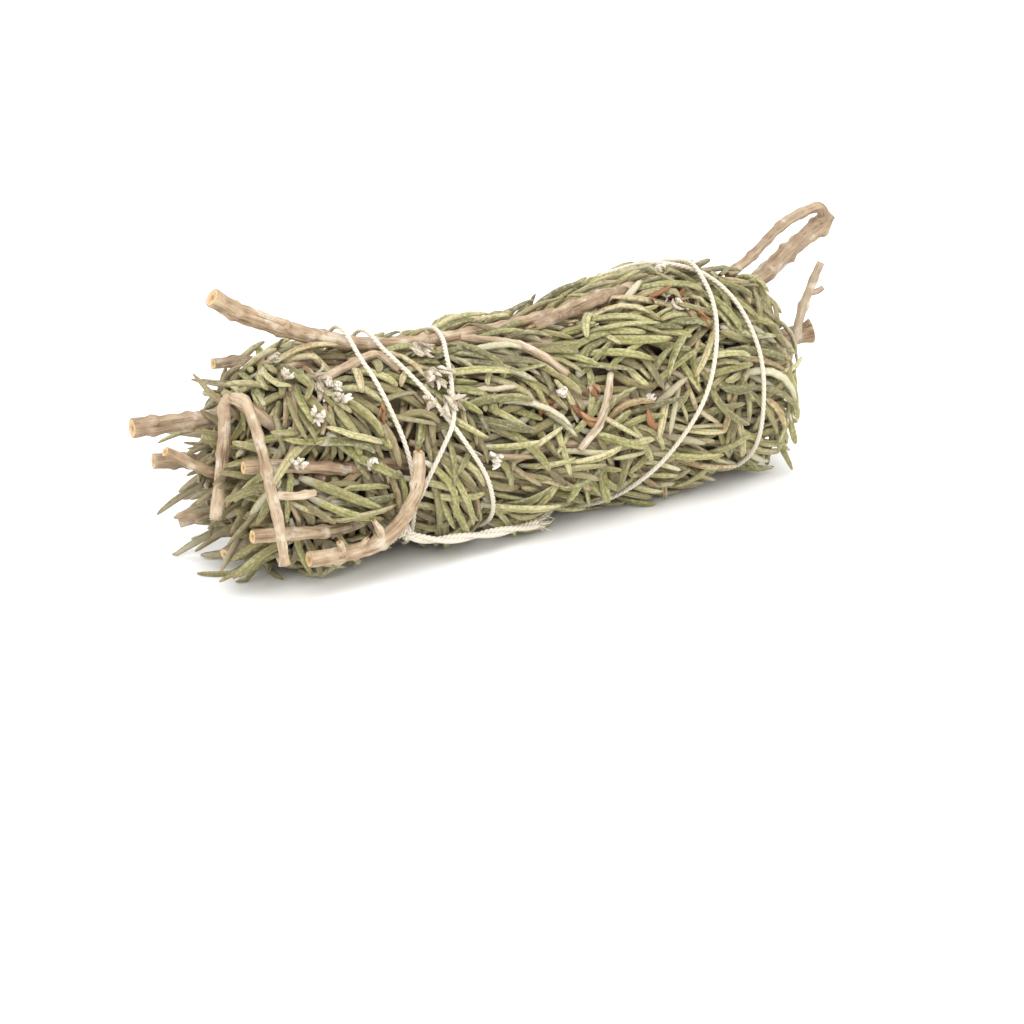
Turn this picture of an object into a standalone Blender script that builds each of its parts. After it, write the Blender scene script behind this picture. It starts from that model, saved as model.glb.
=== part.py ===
"""A bundle of dried rosemary, lying down and wound with cotton string.

Eight leafy sprigs lie side by side round a ninth, the heart. Each sprig is two objects: its
woody stem, which stands in a plain hole in the leaf mass, and its leaves, which are needles
rooted in a slim core of matted leaf. Bare twigs stick out at both ends, four more lie among the
needles at the surface, and one string is wound five times round everything and knotted.

Metres, +Z up. The bundle's axis runs along X, with the cut stems at -X. A place on the bundle
is given as (along, turn, reach): along X, degrees round the axis from the front (-Y) towards
the top (+Z), and distance from the axis.
"""

import math
import random

import bmesh
import bpy
import numpy as np
from mathutils import Vector

MM = 0.001

# Driving dimensions
BODY_HALF = 58 * MM          # the leafy body reaches this far each way along X
BODY_RADIUS = 20.4 * MM      # the needles' outer surface, before its swells
AXIS_HEIGHT = 20 * MM        # the bundle's axis, in the coordinates that it is laid out in
GROUND = 1.6 * MM            # the surface that it lies on, which presses its underside flat
LEAF_LAYER = 5.8 * MM        # depth of standing needles over each core
BULGES = ((33, 19, 95, 5.6), (-42, 14, 80, 1.0), (4, 16, 0, 0.9))  # along, length, way it faces, height
RIPPLE = 0.35 * MM           # unevenness of the surface
RIPPLE_LENGTH = 5.5 * MM
END_SLOPE = 12 * MM          # length over which the surface draws in at each end
END_DROP = 2.0 * MM
GAP = 0.3 * MM               # clearance between neighbouring solids
SEED = 11

# Sprigs
OUTER_SPRIGS = 8
FIRST_TURN = 5.0             # degrees round the axis, at the cut end
TWIST = -0.25                # degrees for each millimetre along the bundle
CORE_STARTS = (-52, -52, -51, -54, -60, -58, -54, -50)  # where each outer core begins, in mm
HEART_START = -54 * MM
CORE_END = 52 * MM           # where all the cores end
CORE_INNER = 8.5 * MM
HEART_RADIUS = 7.6 * MM
CORE_ROUNDING = 7 * MM       # length over which a core rounds off at its ends
CORE_STATIONS = (0.0, 0.03, 0.08, 0.2, 0.32, 0.44, 0.56, 0.68, 0.8, 0.92, 0.97, 1.0)
STEM_SUNK = (3, 9, 20)       # a stem's points inside its core, in mm from the core's start
HOLE_CLEARANCE = 0.3 * MM
END_FILL = 0.6               # how far a core's end is drawn in: 0 is a flat end, 1 a full dome
LYING_STEMS = (0, 3, 7)      # outer sprigs whose stem lies along the surface before it goes in
LYING_LENGTH = 14            # how much further along those go in, in mm
FOLDED_STEM = 1

# Needles
NEEDLES_PER_SPRIG = 60
TUFT_NEEDLES = 9             # at each end of each sprig
HEART_TUFT = 12
NEEDLE_LENGTH = (10 * MM, 15.5 * MM)
NEEDLE_WIDTH = 1.8 * MM
NEEDLE_DEPTH = 1.2 * MM
NEEDLE_REACH = 0.92 * MM     # radius of the round tube that holds a needle's section
NEEDLE_TAPER = 0.62          # share of its length at which a needle begins to taper
ROOT_SUNK = 1.3 * MM
LOWEST_NEEDLE = 0.35 * MM    # height at which the needles under the bundle lie along the ground
OWN_OVERLAP = 0.3 * MM       # how much the space of two needles of one sprig may overlap
TRIES = 90
ROOT_SPREAD = 0.84           # share of the sprig's width that its needles stand on
TUFT_SPREAD = 0.55
TURNED_BACK = (0.6, 0.12)    # share of the needles that point to the cut end: near it, and elsewhere
NEAR_CUT_END = 13 * MM
LOWEST_RISE = 0.15           # how far the flattest needle rises, as a share of the leaf layer
BEND_HEIGHTS = (1.3 * MM, 2.6 * MM)  # least height of a needle's bend, and what it keeps clear in all
TIP_HEIGHTS = (1.0 * MM, 1.3 * MM)
SIDE_MARGIN = 1.1 * MM       # between a buried needle and its own core's side
ROOT_MARGIN = 1.5 * MM       # between a buried needle and its own core's underside
OVER_NEIGHBOUR = 0.35 * MM   # clearance over the next sprig's core
TUFT_ROOT = 2.0 * MM         # how deep in the core's end the needles of a tuft begin
TUFT_MARGIN = 1.4 * MM
TUFT_FLARE = (-0.1, 0.42)    # how far a tuft's needle spreads outwards, as shares of its length
TUFT_DRIFT = 0.4
TIP_TUFT_SCALE = 0.8         # the tip end's needles are shorter
LEAN = -18                   # degrees from the axis that the needles lie at: down the front
LEAN_BY_TURN = -36           # more on the top, less underneath
LEAN_AT_CUT_END = -17
LEAN_SPREAD = 14
CUT_END_REGION = (-36 * MM, 18 * MM)  # its middle and length

# String
STRING_RADIUS = 0.47 * MM
STRING_LIFT = 0.4 * MM      # clearance where the string passes over itself or over a twig
STRING_SLACK = 0.4 * MM     # how far the string's straight pieces may cut its bends
KNOT_RING = 1.05 * MM

LEAF_GREEN = (0.25, 0.27, 0.11, 1.0)
HEART_GREEN = (0.17, 0.19, 0.085, 1.0)
BARK_BROWN = (0.38, 0.26, 0.17, 1.0)
COTTON_WHITE = (0.76, 0.72, 0.64, 1.0)


# ---- places on the bundle -----------------------------------------------------------------

def place(along, turn, reach):
    """The point at that distance along the axis, angle round it and distance from it."""
    angle = math.radians(turn)
    return np.array([along, -reach * math.cos(angle), AXIS_HEIGHT + reach * math.sin(angle)])


def polar(point):
    """(along, turn, reach) of a point."""
    across, up = -point[1], point[2] - AXIS_HEIGHT
    return point[0], math.degrees(math.atan2(up, across)), math.hypot(across, up)


def swell(along, turn, centre, length, towards, amount):
    """A soft bulge of the bundle, centred along it and facing one way."""
    fall = math.exp(-(((along - centre) / length) ** 2))
    return amount * fall * max(0.0, math.cos(math.radians(turn - towards)))


def surface(along, turn):
    """Radius of the needles' outer surface, with the bulges between the string's turns."""
    reach = BODY_RADIUS
    for centre, length, towards, amount in BULGES:
        reach += swell(along, turn, centre * MM, length * MM, towards, amount * MM)
    reach += RIPPLE * math.sin(along / RIPPLE_LENGTH + math.radians(2 * turn))
    end = max(0.0, abs(along) - (BODY_HALF - END_SLOPE)) / END_SLOPE
    return reach - END_DROP * min(end, 1.2) ** 2


def core_surface(along, turn):
    """Radius of the cores, which the needles stand out of."""
    return surface(along, turn) - LEAF_LAYER


def smooth_path(points, count):
    """That many points on a smooth curve through the given ones, evenly spaced."""
    knots = np.array(points, float)
    ends = np.vstack([2 * knots[0] - knots[1], knots, 2 * knots[-1] - knots[-2]])
    dense = []
    for a, b, c, d in zip(ends, ends[1:], ends[2:], ends[3:]):
        for t in np.linspace(0, 1, 24, endpoint=False):
            dense.append(
                0.5 * (2 * b + (c - a) * t + (2 * a - 5 * b + 4 * c - d) * t ** 2
                       + (3 * b - a - 3 * c + d) * t ** 3)
            )
    dense.append(knots[-1])
    dense = np.array(dense)
    travelled = np.concatenate([[0], np.cumsum(np.linalg.norm(np.diff(dense, axis=0), axis=1))])
    wanted = np.linspace(0, travelled[-1], count)
    return np.column_stack([np.interp(wanted, travelled, dense[:, k]) for k in range(dense.shape[1])])


# ---- keeping pieces clear of each other ---------------------------------------------------

class Room:
    """The capsules already taken up by each object, to keep new needles clear of them."""

    def __init__(self):
        self.starts, self.ends, self.radii, self.owners = [], [], [], []

    def take(self, owner, path, radii):
        """Fills the room round each leg of a path for the object that owns it."""
        for a, b, radius in zip(path, path[1:], radii):
            self.starts.append(np.array(a))
            self.ends.append(np.array(b))
            self.radii.append(radius)
            self.owners.append(owner)

    def clear(self, owner, path, radii):
        """Whether a path of that radius keeps the gap to other objects and is beside its own."""
        starts, ends = np.array(self.starts), np.array(self.ends)
        gaps = np.array([-OWN_OVERLAP if name == owner else GAP for name in self.owners])
        limits = np.array(self.radii) + gaps
        near = np.linalg.norm((starts + ends) / 2 - path[len(path) // 2], axis=1) < 24 * MM
        if not near.any():
            return True
        starts, ends, limits = starts[near], ends[near], limits[near]
        return all(
            (segment_distance(a, b, starts, ends) > limits + radius).all()
            for a, b, radius in zip(path, path[1:], radii)
        )


def segment_distance(a, b, starts, ends):
    """Distance from the segment a-b to each segment of starts-ends."""
    first, second, between = b - a, ends - starts, a - starts
    ff = first @ first
    ss = np.einsum("ij,ij->i", second, second)
    fs = second @ first
    fb = between @ first
    sb = np.einsum("ij,ij->i", second, between)
    bottom = ff * ss - fs ** 2
    s = np.where(bottom > 1e-18, (fs * sb - ss * fb) / np.maximum(bottom, 1e-18), 0.0).clip(0, 1)
    t = ((s * fs + sb) / np.maximum(ss, 1e-18)).clip(0, 1)
    s = ((t * fs - fb) / max(ff, 1e-18)).clip(0, 1)
    apart = between + s[:, None] * first - t[:, None] * second
    return np.linalg.norm(apart, axis=1)


# ---- Blender helpers ----------------------------------------------------------------------

def clear_scene():
    """Removes whatever the file starts with."""
    for thing in list(bpy.data.objects):
        bpy.data.objects.remove(thing)


def new_collection(name):
    """A collection linked to the scene."""
    made = bpy.data.collections.new(name)
    bpy.context.scene.collection.children.link(made)
    return made


def material(name, colour, roughness):
    """A plain Principled material."""
    made = bpy.data.materials.new(name)
    made.use_nodes = True
    shader = made.node_tree.nodes["Principled BSDF"]
    shader.inputs["Base Color"].default_value = colour
    shader.inputs["Roughness"].default_value = roughness
    made.diffuse_color = colour
    return made


def mesh_object(name, build, home):
    """An object whose mesh the build function fills in through bmesh."""
    mesh = bpy.data.meshes.new(name)
    shape = bmesh.new()
    build(shape)
    bmesh.ops.recalc_face_normals(shape, faces=shape.faces)
    shape.to_mesh(mesh)
    shape.free()
    made = bpy.data.objects.new(name, mesh)
    home.objects.link(made)
    return made


def loft(shape, rings):
    """Skins closed rings of equal count into one closed body with flat ends."""
    loops = [[shape.verts.new(p) for p in ring] for ring in rings]
    for near, far in zip(loops, loops[1:]):
        for k in range(len(near)):
            following = (k + 1) % len(near)
            shape.faces.new((near[k], near[following], far[following], far[k]))
    shape.faces.new(loops[0][::-1])
    shape.faces.new(loops[-1])


def tube(name, points, radii, home, sides_step=2):
    """A round bar through the points, with a radius at each, as a mesh with welded caps."""
    curve = bpy.data.curves.new(name, "CURVE")
    curve.dimensions = "3D"
    curve.bevel_depth = 1.0
    curve.bevel_resolution = sides_step
    curve.use_fill_caps = True
    line = curve.splines.new("POLY")
    line.points.add(len(points) - 1)
    for node, point, radius in zip(line.points, points, radii):
        node.co = (*point, 1.0)
        node.radius = radius
    drawn = bpy.data.objects.new(name + "_curve", curve)
    home.objects.link(drawn)
    bpy.context.view_layer.update()
    graph = bpy.context.evaluated_depsgraph_get()
    mesh = bpy.data.meshes.new_from_object(drawn.evaluated_get(graph))
    mesh.name = name
    made = bpy.data.objects.new(name, mesh)
    made.matrix_world = drawn.matrix_world
    home.objects.link(made)
    bpy.data.objects.remove(drawn)
    shape = bmesh.new()
    shape.from_mesh(mesh)
    bmesh.ops.remove_doubles(shape, verts=shape.verts, dist=0.001 * MM)
    bmesh.ops.recalc_face_normals(shape, faces=shape.faces)
    shape.to_mesh(mesh)
    shape.free()
    return made


def keep_body(mesh):
    """Drops all but the largest shell: hollows that joining sealed are filled, loose chips go."""
    shape = bmesh.new()
    shape.from_mesh(mesh)
    unseen = set(shape.faces)
    shells = []
    while unseen:
        shell = [unseen.pop()]
        for face in shell:
            for edge in face.edges:
                for neighbour in edge.link_faces if len(edge.link_faces) == 2 else ():
                    if neighbour in unseen:
                        unseen.remove(neighbour)
                        shell.append(neighbour)
        shells.append(shell)
    shells.sort(key=lambda shell: sum(face.calc_area() for face in shell))
    spare = [face for shell in shells[:-1] for face in shell]
    bmesh.ops.delete(shape, geom=spare, context="FACES")
    shape.to_mesh(mesh)
    shape.free()


def apply_boolean(target, operation, solver="EXACT", cutter=None, others=None):
    """Joins or cuts the target with an object or a collection, for good, and drops what it used."""
    change = target.modifiers.new(operation.lower(), "BOOLEAN")
    change.operation = operation
    change.solver = solver
    if others is None:
        change.object = cutter
    else:
        change.operand_type = "COLLECTION"
        change.collection = others
    bpy.context.view_layer.update()
    graph = bpy.context.evaluated_depsgraph_get()
    result = bpy.data.meshes.new_from_object(target.evaluated_get(graph))
    target.modifiers.remove(change)
    keep_body(result)
    target.data = result
    for used in [cutter] if others is None else list(others.objects):
        bpy.data.objects.remove(used)
    if others is not None:
        bpy.data.collections.remove(others)


def finish(thing, name, look, smooth=None):
    """Gives an object its name and material, and smooth shading where it is round."""
    thing.name = name
    thing.data.name = name
    thing.data.materials.clear()
    thing.data.materials.append(look)
    if smooth is not None:
        thing.data.shade_smooth()
        thing.data.set_sharp_from_angle(angle=math.radians(smooth))


# ---- woody stems and twigs ----------------------------------------------------------------

class Stem:
    """A woody stem: a main run and its side branches, each a list of (point, radius) in mm."""

    def __init__(self, name, run, branches=(), count=9):
        self.name = name
        self.runs = [self.path(run, count)]
        self.runs += [self.path(branch, max(4, len(branch) + 2)) for branch in branches]

    @staticmethod
    def path(run, count):
        """Evenly spaced points of the run with their radii, in metres."""
        return smooth_path([(*point, radius) for point, radius in run], count) * MM

    def occupy(self, room):
        """Keeps the stem's space."""
        for run in self.runs:
            for a, b in zip(run, run[1:]):
                room.take(self.name, [a[:3], b[:3]], [max(a[3], b[3]) * 1.03])

    def build(self, home, look):
        """The stem as one solid, its branches fused to its main run."""
        bodies = [tube(self.name, run[:, :3], run[:, 3], home) for run in self.runs]
        for branch in bodies[1:]:
            apply_boolean(bodies[0], "UNION", cutter=branch)
        finish(bodies[0], self.name, look, smooth=50)

    def hole_cutter(self, home):
        """A bar a little fatter than the stem's main run, to cut its hole."""
        run = self.runs[0]
        return tube(self.name + "_hole", run[:, :3], run[:, 3] + HOLE_CLEARANCE, home)


def sprig_turn(index, along):
    """Degrees round the axis of an outer sprig's middle at that place along the bundle."""
    return FIRST_TURN + index * 360 / OUTER_SPRIGS + TWIST * (along / MM + 53)


def inside_core(index, along):
    """Middle of an outer sprig's core, in millimetres, for the stems that stand in it."""
    middle = (CORE_INNER + BODY_RADIUS - LEAF_LAYER) / 2
    return tuple(place(along * MM, sprig_turn(index, along * MM), middle) / MM)


def sprig_stems():
    """The stem of each outer sprig, from its cut end into the core. The second one is folded."""
    free_ends = [
        [((-61.4, -13.8, 27.5), 1.25), ((-55, -14.2, 26.6), 1.2), ((-50, -14.6, 25.6), 1.2),
         ((-44, -14.4, 24), 1.15)],
        [((-60.2, -7.4, 38.2), 1.1), ((-57, -7.4, 35.6), 1.15)],
        [((-75.5, 1.5, 32.5), 1.75), ((-64, 1.5, 31.7), 1.7), ((-56, 1.3, 31.4), 1.6)],
        [((-58, 5.4, 40.1), 1.05), ((-50, 6.2, 38.8), 1.05), ((-43.5, 7.4, 33.5), 1.05)],
        [((-67.5, 12.8, 20.6), 1.5), ((-62.5, 12.2, 20.1), 1.45)],
        [((-64.5, 9.8, 9.4), 1.5), ((-60, 8.4, 10.4), 1.4)],
        [((-61, -3, 6.6), 1.4), ((-57, -1.6, 7.6), 1.35)],
        [((-61.5, -16.6, 15.6), 1.3), ((-53, -16.4, 14.2), 1.25), ((-45, -15.6, 12.9), 1.2),
         ((-39, -13, 12.2), 1.15)],
    ]
    folded_twig = (
        [((-60.4, -7.4, 38.3), 1.15), ((-61.2, -6.6, 36.6), 1.15), ((-61.7, -6.5, 29.9), 1.2),
         ((-63.2, -6.5, 19.3), 1.25), ((-64, -6.5, 15.8), 1.2)],
        [((-60.2, -7.4, 38.2), 1.1), ((-58.5, -10, 37.2), 1.05), ((-58.4, -15.2, 30.8), 1.0),
         ((-58.3, -18.3, 23.8), 1.0), ((-58, -20.2, 18.6), 1.0), ((-57.8, -21.8, 11.2), 0.9)],
    )
    stems = []
    for index, free in enumerate(free_ends):
        radius = free[-1][1]
        surfaced = index in LYING_STEMS
        start = CORE_STARTS[index] + (LYING_LENGTH if surfaced else 0)
        inside = [(inside_core(index, start + depth), radius) for depth in STEM_SUNK]
        branches = folded_twig if index == FOLDED_STEM else ()
        stems.append(Stem(f"sprig_{index + 1}_stem", free + inside, branches))
    return stems


def tip_twigs():
    """Twigs that come out at the tip end: a forked one and a thin upright one."""
    forked = Stem(
        "tip_twig_forked",
        [(inside_core(3, 36), 1.5), (inside_core(3, 46), 1.6), ((57, 5, 35.2), 1.7),
         ((64, 6, 38.4), 1.9), ((70, 6, 42.4), 1.8), ((75.5, 6, 45.4), 2.0), ((78, 6, 47.8), 1.7)],
        [[((77, 6, 47.2), 1.3), ((74.5, 5.6, 49.6), 1.05), ((66.5, 5, 47.9), 1.05),
          ((61.5, 5, 44.4), 0.95), ((57, 4.6, 41.4), 1.05),
          ((52, 4.2, 39.4), 1.0)]],
        count=12,
    )
    upright = Stem(
        "tip_twig_upright",
        [(inside_core(1, 38), 1.0), (inside_core(1, 47), 1.0), ((57, -8.4, 24.2), 0.95),
         ((62, -5.6, 26.8), 0.95), ((65.6, -2.8, 31.5), 0.9), ((68.2, -2, 36), 0.9),
         ((70.4, -2, 40.8), 0.8)],
        [[((67.6, -2.2, 34.8), 0.65), ((69.6, -2.4, 35), 0.6), ((70.8, -2.6, 35.6), 0.45)]],
        count=12,
    )
    return [forked, upright]


def heart_stems():
    """The heart's own stem at the cut end, and a stout cut stub at its tip end."""
    cut_end = Stem(
        "heart_stem",
        [((-71.4, -3, 28.8), 1.0), ((-62.4, -3, 22.9), 1.05), ((-57, -1.5, 20.8), 1.15),
         ((-48, 0, 20), 1.2), ((-34, 0, 20), 1.1)],
    )
    stub = Stem(
        "heart_stub",
        [((36, 1.5, 21.5), 1.9), ((50, 1.8, 22.6), 1.95), ((60, 1, 24.6), 2.0),
         ((69.5, -1, 26.2), 2.0)],
    )
    return [cut_end, stub]


def lying_twigs():
    """The bare twigs among the outer needles: along the top, hooked low down, and two short."""
    top = Stem(
        "top_twig",
        [((-59, 2, 53.6), 1.75), ((-55.5, 2, 50.9), 1.65), ((-52, 2, 48.9), 1.8),
         ((-42.4, 2, 44.2), 1.6), ((-32.4, 1.8, 40.6), 1.45), ((-22, 1.5, 38.8), 1.3),
         ((-8, 1, 38.5), 1.2), ((2, 0.8, 38.9), 1.05), ((10, 0.6, 39.8), 0.95)],
        count=15,
    )
    hooked = Stem(
        "hooked_twig",
        [((-52, -19.2, 10), 1.55), ((-45, -19, 9.4), 1.5), ((-39, -19.1, 10), 1.45),
         ((-34.8, -20.3, 13.2), 1.4), ((-31.8, -21.3, 18.2), 1.35), ((-30.8, -21, 22.4), 1.25),
         ((-30.4, -20.2, 26.4), 1.1)],
        count=13,
    )
    ridge = Stem(
        "ridge_twig",
        [((2, -5.4, 40.3), 0.9), ((9, -3.6, 42), 1.4), ((18, -1.8, 43.8), 1.6), ((26, -0.8, 45.4), 1.3)],
        count=7,
    )
    drooping = Stem(
        "drooping_twig",
        [((12.5, -15.7, 32.1), 0.7), ((10.2, -18.2, 28), 0.75), ((7.6, -19.5, 24), 0.8),
         ((3.5, -19.8, 20), 0.65)],
        count=7,
    )
    return [top, hooked, ridge, drooping]


# ---- the string ---------------------------------------------------------------------------

# Hand-laid route: (mm along, degrees round, mm from the axis), winding down the front each time.
STRING_ROUTE = [
    (-33, 333, 19.9), (-33.6, 300, 18.2), (-32, 264, 17.7), (-27, 230, 19.2), (-20, 200, 19.4),
    (-12, 175, 19.6), (2, 148, 20), (17, 126, 22), (31, 106, 24.8), (38.5, 88, 24.6),
    (42.6, 66, 23.4), (44.6, 34, 21.4), (45, 4, 19.6), (45, -28, 19.3), (44, -62, 18.2),
    (42.5, -96, 17.7), (40.5, -140, 19.2), (39, -185, 20.6), (38.6, -230, 23.7), (39.2, -262, 24.7),
    (39, -284, 24.5), (37, -306, 23.6), (33.8, -328, 22.1), (30.5, -348, 20.5), (26, -366, 20),
    (20, -388, 19.8), (13, -410, 19.5), (5, -428, 18.2), (-3, -450, 17.6), (-11, -475, 18.2),
    (-17.5, -498, 19.3), (-21, -516, 19.4), (-24.5, -545, 19.6), (-27.6, -580, 20), (-29.6, -612, 20.6),
    (-29.2, -632, 21), (-27.4, -656, 20.4), (-23.6, -684, 20.1), (-20.4, -702, 20), (-16, -726, 19.9),
    (-13.4, -752, 19.6), (-13, -780, 18.2), (-14, -812, 17.6), (-17.5, -842, 19.2), (-24, -872, 19.3),
    (-29, -902, 19.6), (-32.4, -940, 20.2), (-34.2, -972, 21), (-34.6, -992, 21.2), (-34, -1012, 20.6),
    (-33, -1036, 19.6), (-31.4, -1056, 18.3), (-30.4, -1072, 17.6), (-29.8, -1092, 17.6), (-29.2, -1112, 18.1),
    (-27.6, -1140, 18.2), (-24, -1176, 17.7), (-19.6, -1204, 19.2), (-16.6, -1228, 19.4), (-15.4, -1264, 19.6),
    (-15.2, -1300, 19.9), (-15.2, -1342, 20), (-16, -1358, 20.2), (-18, -1374, 20.2), (-21, -1402, 19.8),
    (-24.4, -1423, 19), (-27.2, -1438, 18.4), (-29.6, -1452, 18.4), (-33, -1467, 19.9),
]
TAIL_ROUTE = [
    (-33, -27, 19.9), (-30, -31, 21.2), (-25, -35, 21.9), (-16, -39, 22), (-7, -42, 21.9),
    (-3, -44, 21.6),
]


def on_bundle(route, count):
    """The route as evenly spaced points in metres."""
    return smooth_path([place(a * MM, t, r * MM) for a, t, r in route], count)


def lay_string(twigs):
    """The winding: each turn is lifted where it crosses an earlier one or a twig under it."""
    fine = on_bundle(STRING_ROUTE, 1400)
    step = np.linalg.norm(np.diff(fine, axis=0), axis=1).mean()
    apart = int(6 * MM / step)
    lift = np.zeros(len(fine))
    reach = np.array([polar(point)[2] for point in fine])
    flat = np.array([[a, math.radians(t)] for a, t, _ in map(polar, fine)])
    for k in range(apart, len(fine) - apart):
        under = slice(0, k - apart)
        turned = (flat[under, 1] - flat[k, 1] + math.pi) % (2 * math.pi) - math.pi
        beside = np.hypot(flat[under, 0] - flat[k, 0], turned * reach[k])
        crossing = beside < 2.1 * STRING_RADIUS
        if crossing.any():
            needed = (reach[under] + lift[under])[crossing].max() + 2 * STRING_RADIUS + STRING_LIFT
            lift[k] = max(0.0, needed - reach[k])
    for twig in twigs:
        for knot in twig:
            top = polar(knot[:3])
            for k in range(apart, len(fine) - apart):
                turned = (flat[k, 1] - math.radians(top[1]) + math.pi) % (2 * math.pi) - math.pi
                if math.hypot(flat[k, 0] - top[0], turned * reach[k]) < 1.6 * knot[3]:
                    needed = top[2] + knot[3] + STRING_RADIUS + STRING_LIFT
                    lift[k] = max(lift[k], needed - reach[k])
    steepest = 0.5 * step
    for k in range(1, len(lift)):
        lift[k] = max(lift[k], lift[k - 1] - steepest)
    for k in range(len(lift) - 2, -1, -1):
        lift[k] = max(lift[k], lift[k + 1] - steepest)
    raised = np.array([place(a, math.degrees(t), r + up) for (a, t), r, up in zip(flat, reach, lift)])
    raised[:, 2] = np.maximum(raised[:, 2], GROUND + STRING_RADIUS + GAP / 2)
    return thin_out(raised, STRING_SLACK)


def thin_out(points, slack):
    """The fewest of the points whose straight joins stay within the slack of them all."""
    kept, waiting = {0, len(points) - 1}, [(0, len(points) - 1)]
    while waiting:
        first, last = waiting.pop()
        if last - first < 2:
            continue
        line = points[last] - points[first]
        offset = points[first + 1:last] - points[first]
        share = (offset @ line / max(line @ line, 1e-18)).clip(0, 1)
        away = np.linalg.norm(offset - share[:, None] * line, axis=1)
        worst = int(away.argmax())
        if away[worst] > slack:
            middle = first + 1 + worst
            kept.add(middle)
            waiting += [(first, middle), (middle, last)]
    return points[sorted(kept)]


def tail_strands():
    """The two loose ends beyond the knot, twisted loosely round each other."""
    middle = on_bundle(TAIL_ROUTE, 13)
    strands = []
    for phase in (0.0, math.pi):
        strand = []
        for k, point in enumerate(middle):
            spread = STRING_RADIUS * 0.85
            lean = phase + k * 0.9
            strand.append(point + np.array([0, spread * math.cos(lean), spread * math.sin(lean)]))
        strands.append(np.array(strand))
    return strands


def build_string(home, look, winding, tails):
    """The winding, its knot and its two ends, fused as the one string that they are."""
    string = tube("string", winding, [STRING_RADIUS] * len(winding), home, sides_step=1)
    rest = new_collection("string_rest")
    for k, tail in enumerate(tails):
        tube(f"tail_{k}", tail, [STRING_RADIUS * 0.97] * len(tail), rest, sides_step=1)
    knot = place(*(v * s for v, s in zip(TAIL_ROUTE[0], (MM, 1, MM))))
    heading = Vector(place(-25 * MM, -35, 21.9 * MM) - knot)
    for k, shift in enumerate((0.15 * MM, 1.1 * MM)):
        bpy.ops.mesh.primitive_torus_add(
            major_segments=10,
            minor_segments=6,
            major_radius=KNOT_RING,
            minor_radius=STRING_RADIUS * (1.06 + 0.05 * k),
            location=Vector(knot) + heading.normalized() * shift,
            rotation=heading.to_track_quat("Z", "Y").to_euler(),
        )
        ring = bpy.context.object
        ring.rotation_euler.rotate_axis("X", math.radians(18 - 30 * k))
        bpy.context.collection.objects.unlink(ring)
        rest.objects.link(ring)
    apply_boolean(string, "UNION", others=rest)
    finish(string, "string", look, smooth=60)


# ---- leaves -------------------------------------------------------------------------------

class Needle:
    """One narrow leaf: a three-sided blade, bent once, from its sunk root to its tip."""

    LEG_RADII = (NEEDLE_REACH, NEEDLE_REACH, 0.6 * NEEDLE_REACH)

    def __init__(self, root, bend, tip, outward):
        self.path = [root, bend, tip]
        self.legs = [root, bend, (bend + tip) / 2, tip]
        self.outward = outward

    def build(self, home):
        """The needle as a closed mesh."""
        root, bend, tip = self.path
        lengthwise = (tip - root) / np.linalg.norm(tip - root)
        side = np.cross(lengthwise, self.outward)
        side /= np.linalg.norm(side)
        ridge = np.cross(side, lengthwise)

        def section(centre, share):
            return [
                centre + side * NEEDLE_WIDTH / 2 * share - ridge * NEEDLE_DEPTH * 0.3 * share,
                centre + ridge * NEEDLE_DEPTH * 0.7 * share,
                centre - side * NEEDLE_WIDTH / 2 * share - ridge * NEEDLE_DEPTH * 0.3 * share,
            ]

        def build(shape):
            lower = [shape.verts.new(p) for p in section(root, 0.8)]
            upper = [shape.verts.new(p) for p in section(bend, 1.0)]
            point = shape.verts.new(tip)
            shape.faces.new(lower)
            for k in range(3):
                following = (k + 1) % 3
                shape.faces.new((lower[k], lower[following], upper[following], upper[k]))
                shape.faces.new((upper[k], upper[following], point))

        return mesh_object("needle", build, home)


def leaf_lean(along, turn):
    """Degrees that the needles lie away from the bundle's axis: they sweep down the front."""
    centre, length = CUT_END_REGION
    height = math.sin(math.radians(turn))
    near_cut_end = math.exp(-(((along - centre) / length) ** 2))
    return LEAN + LEAN_BY_TURN * height + LEAN_AT_CUT_END * near_cut_end


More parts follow.
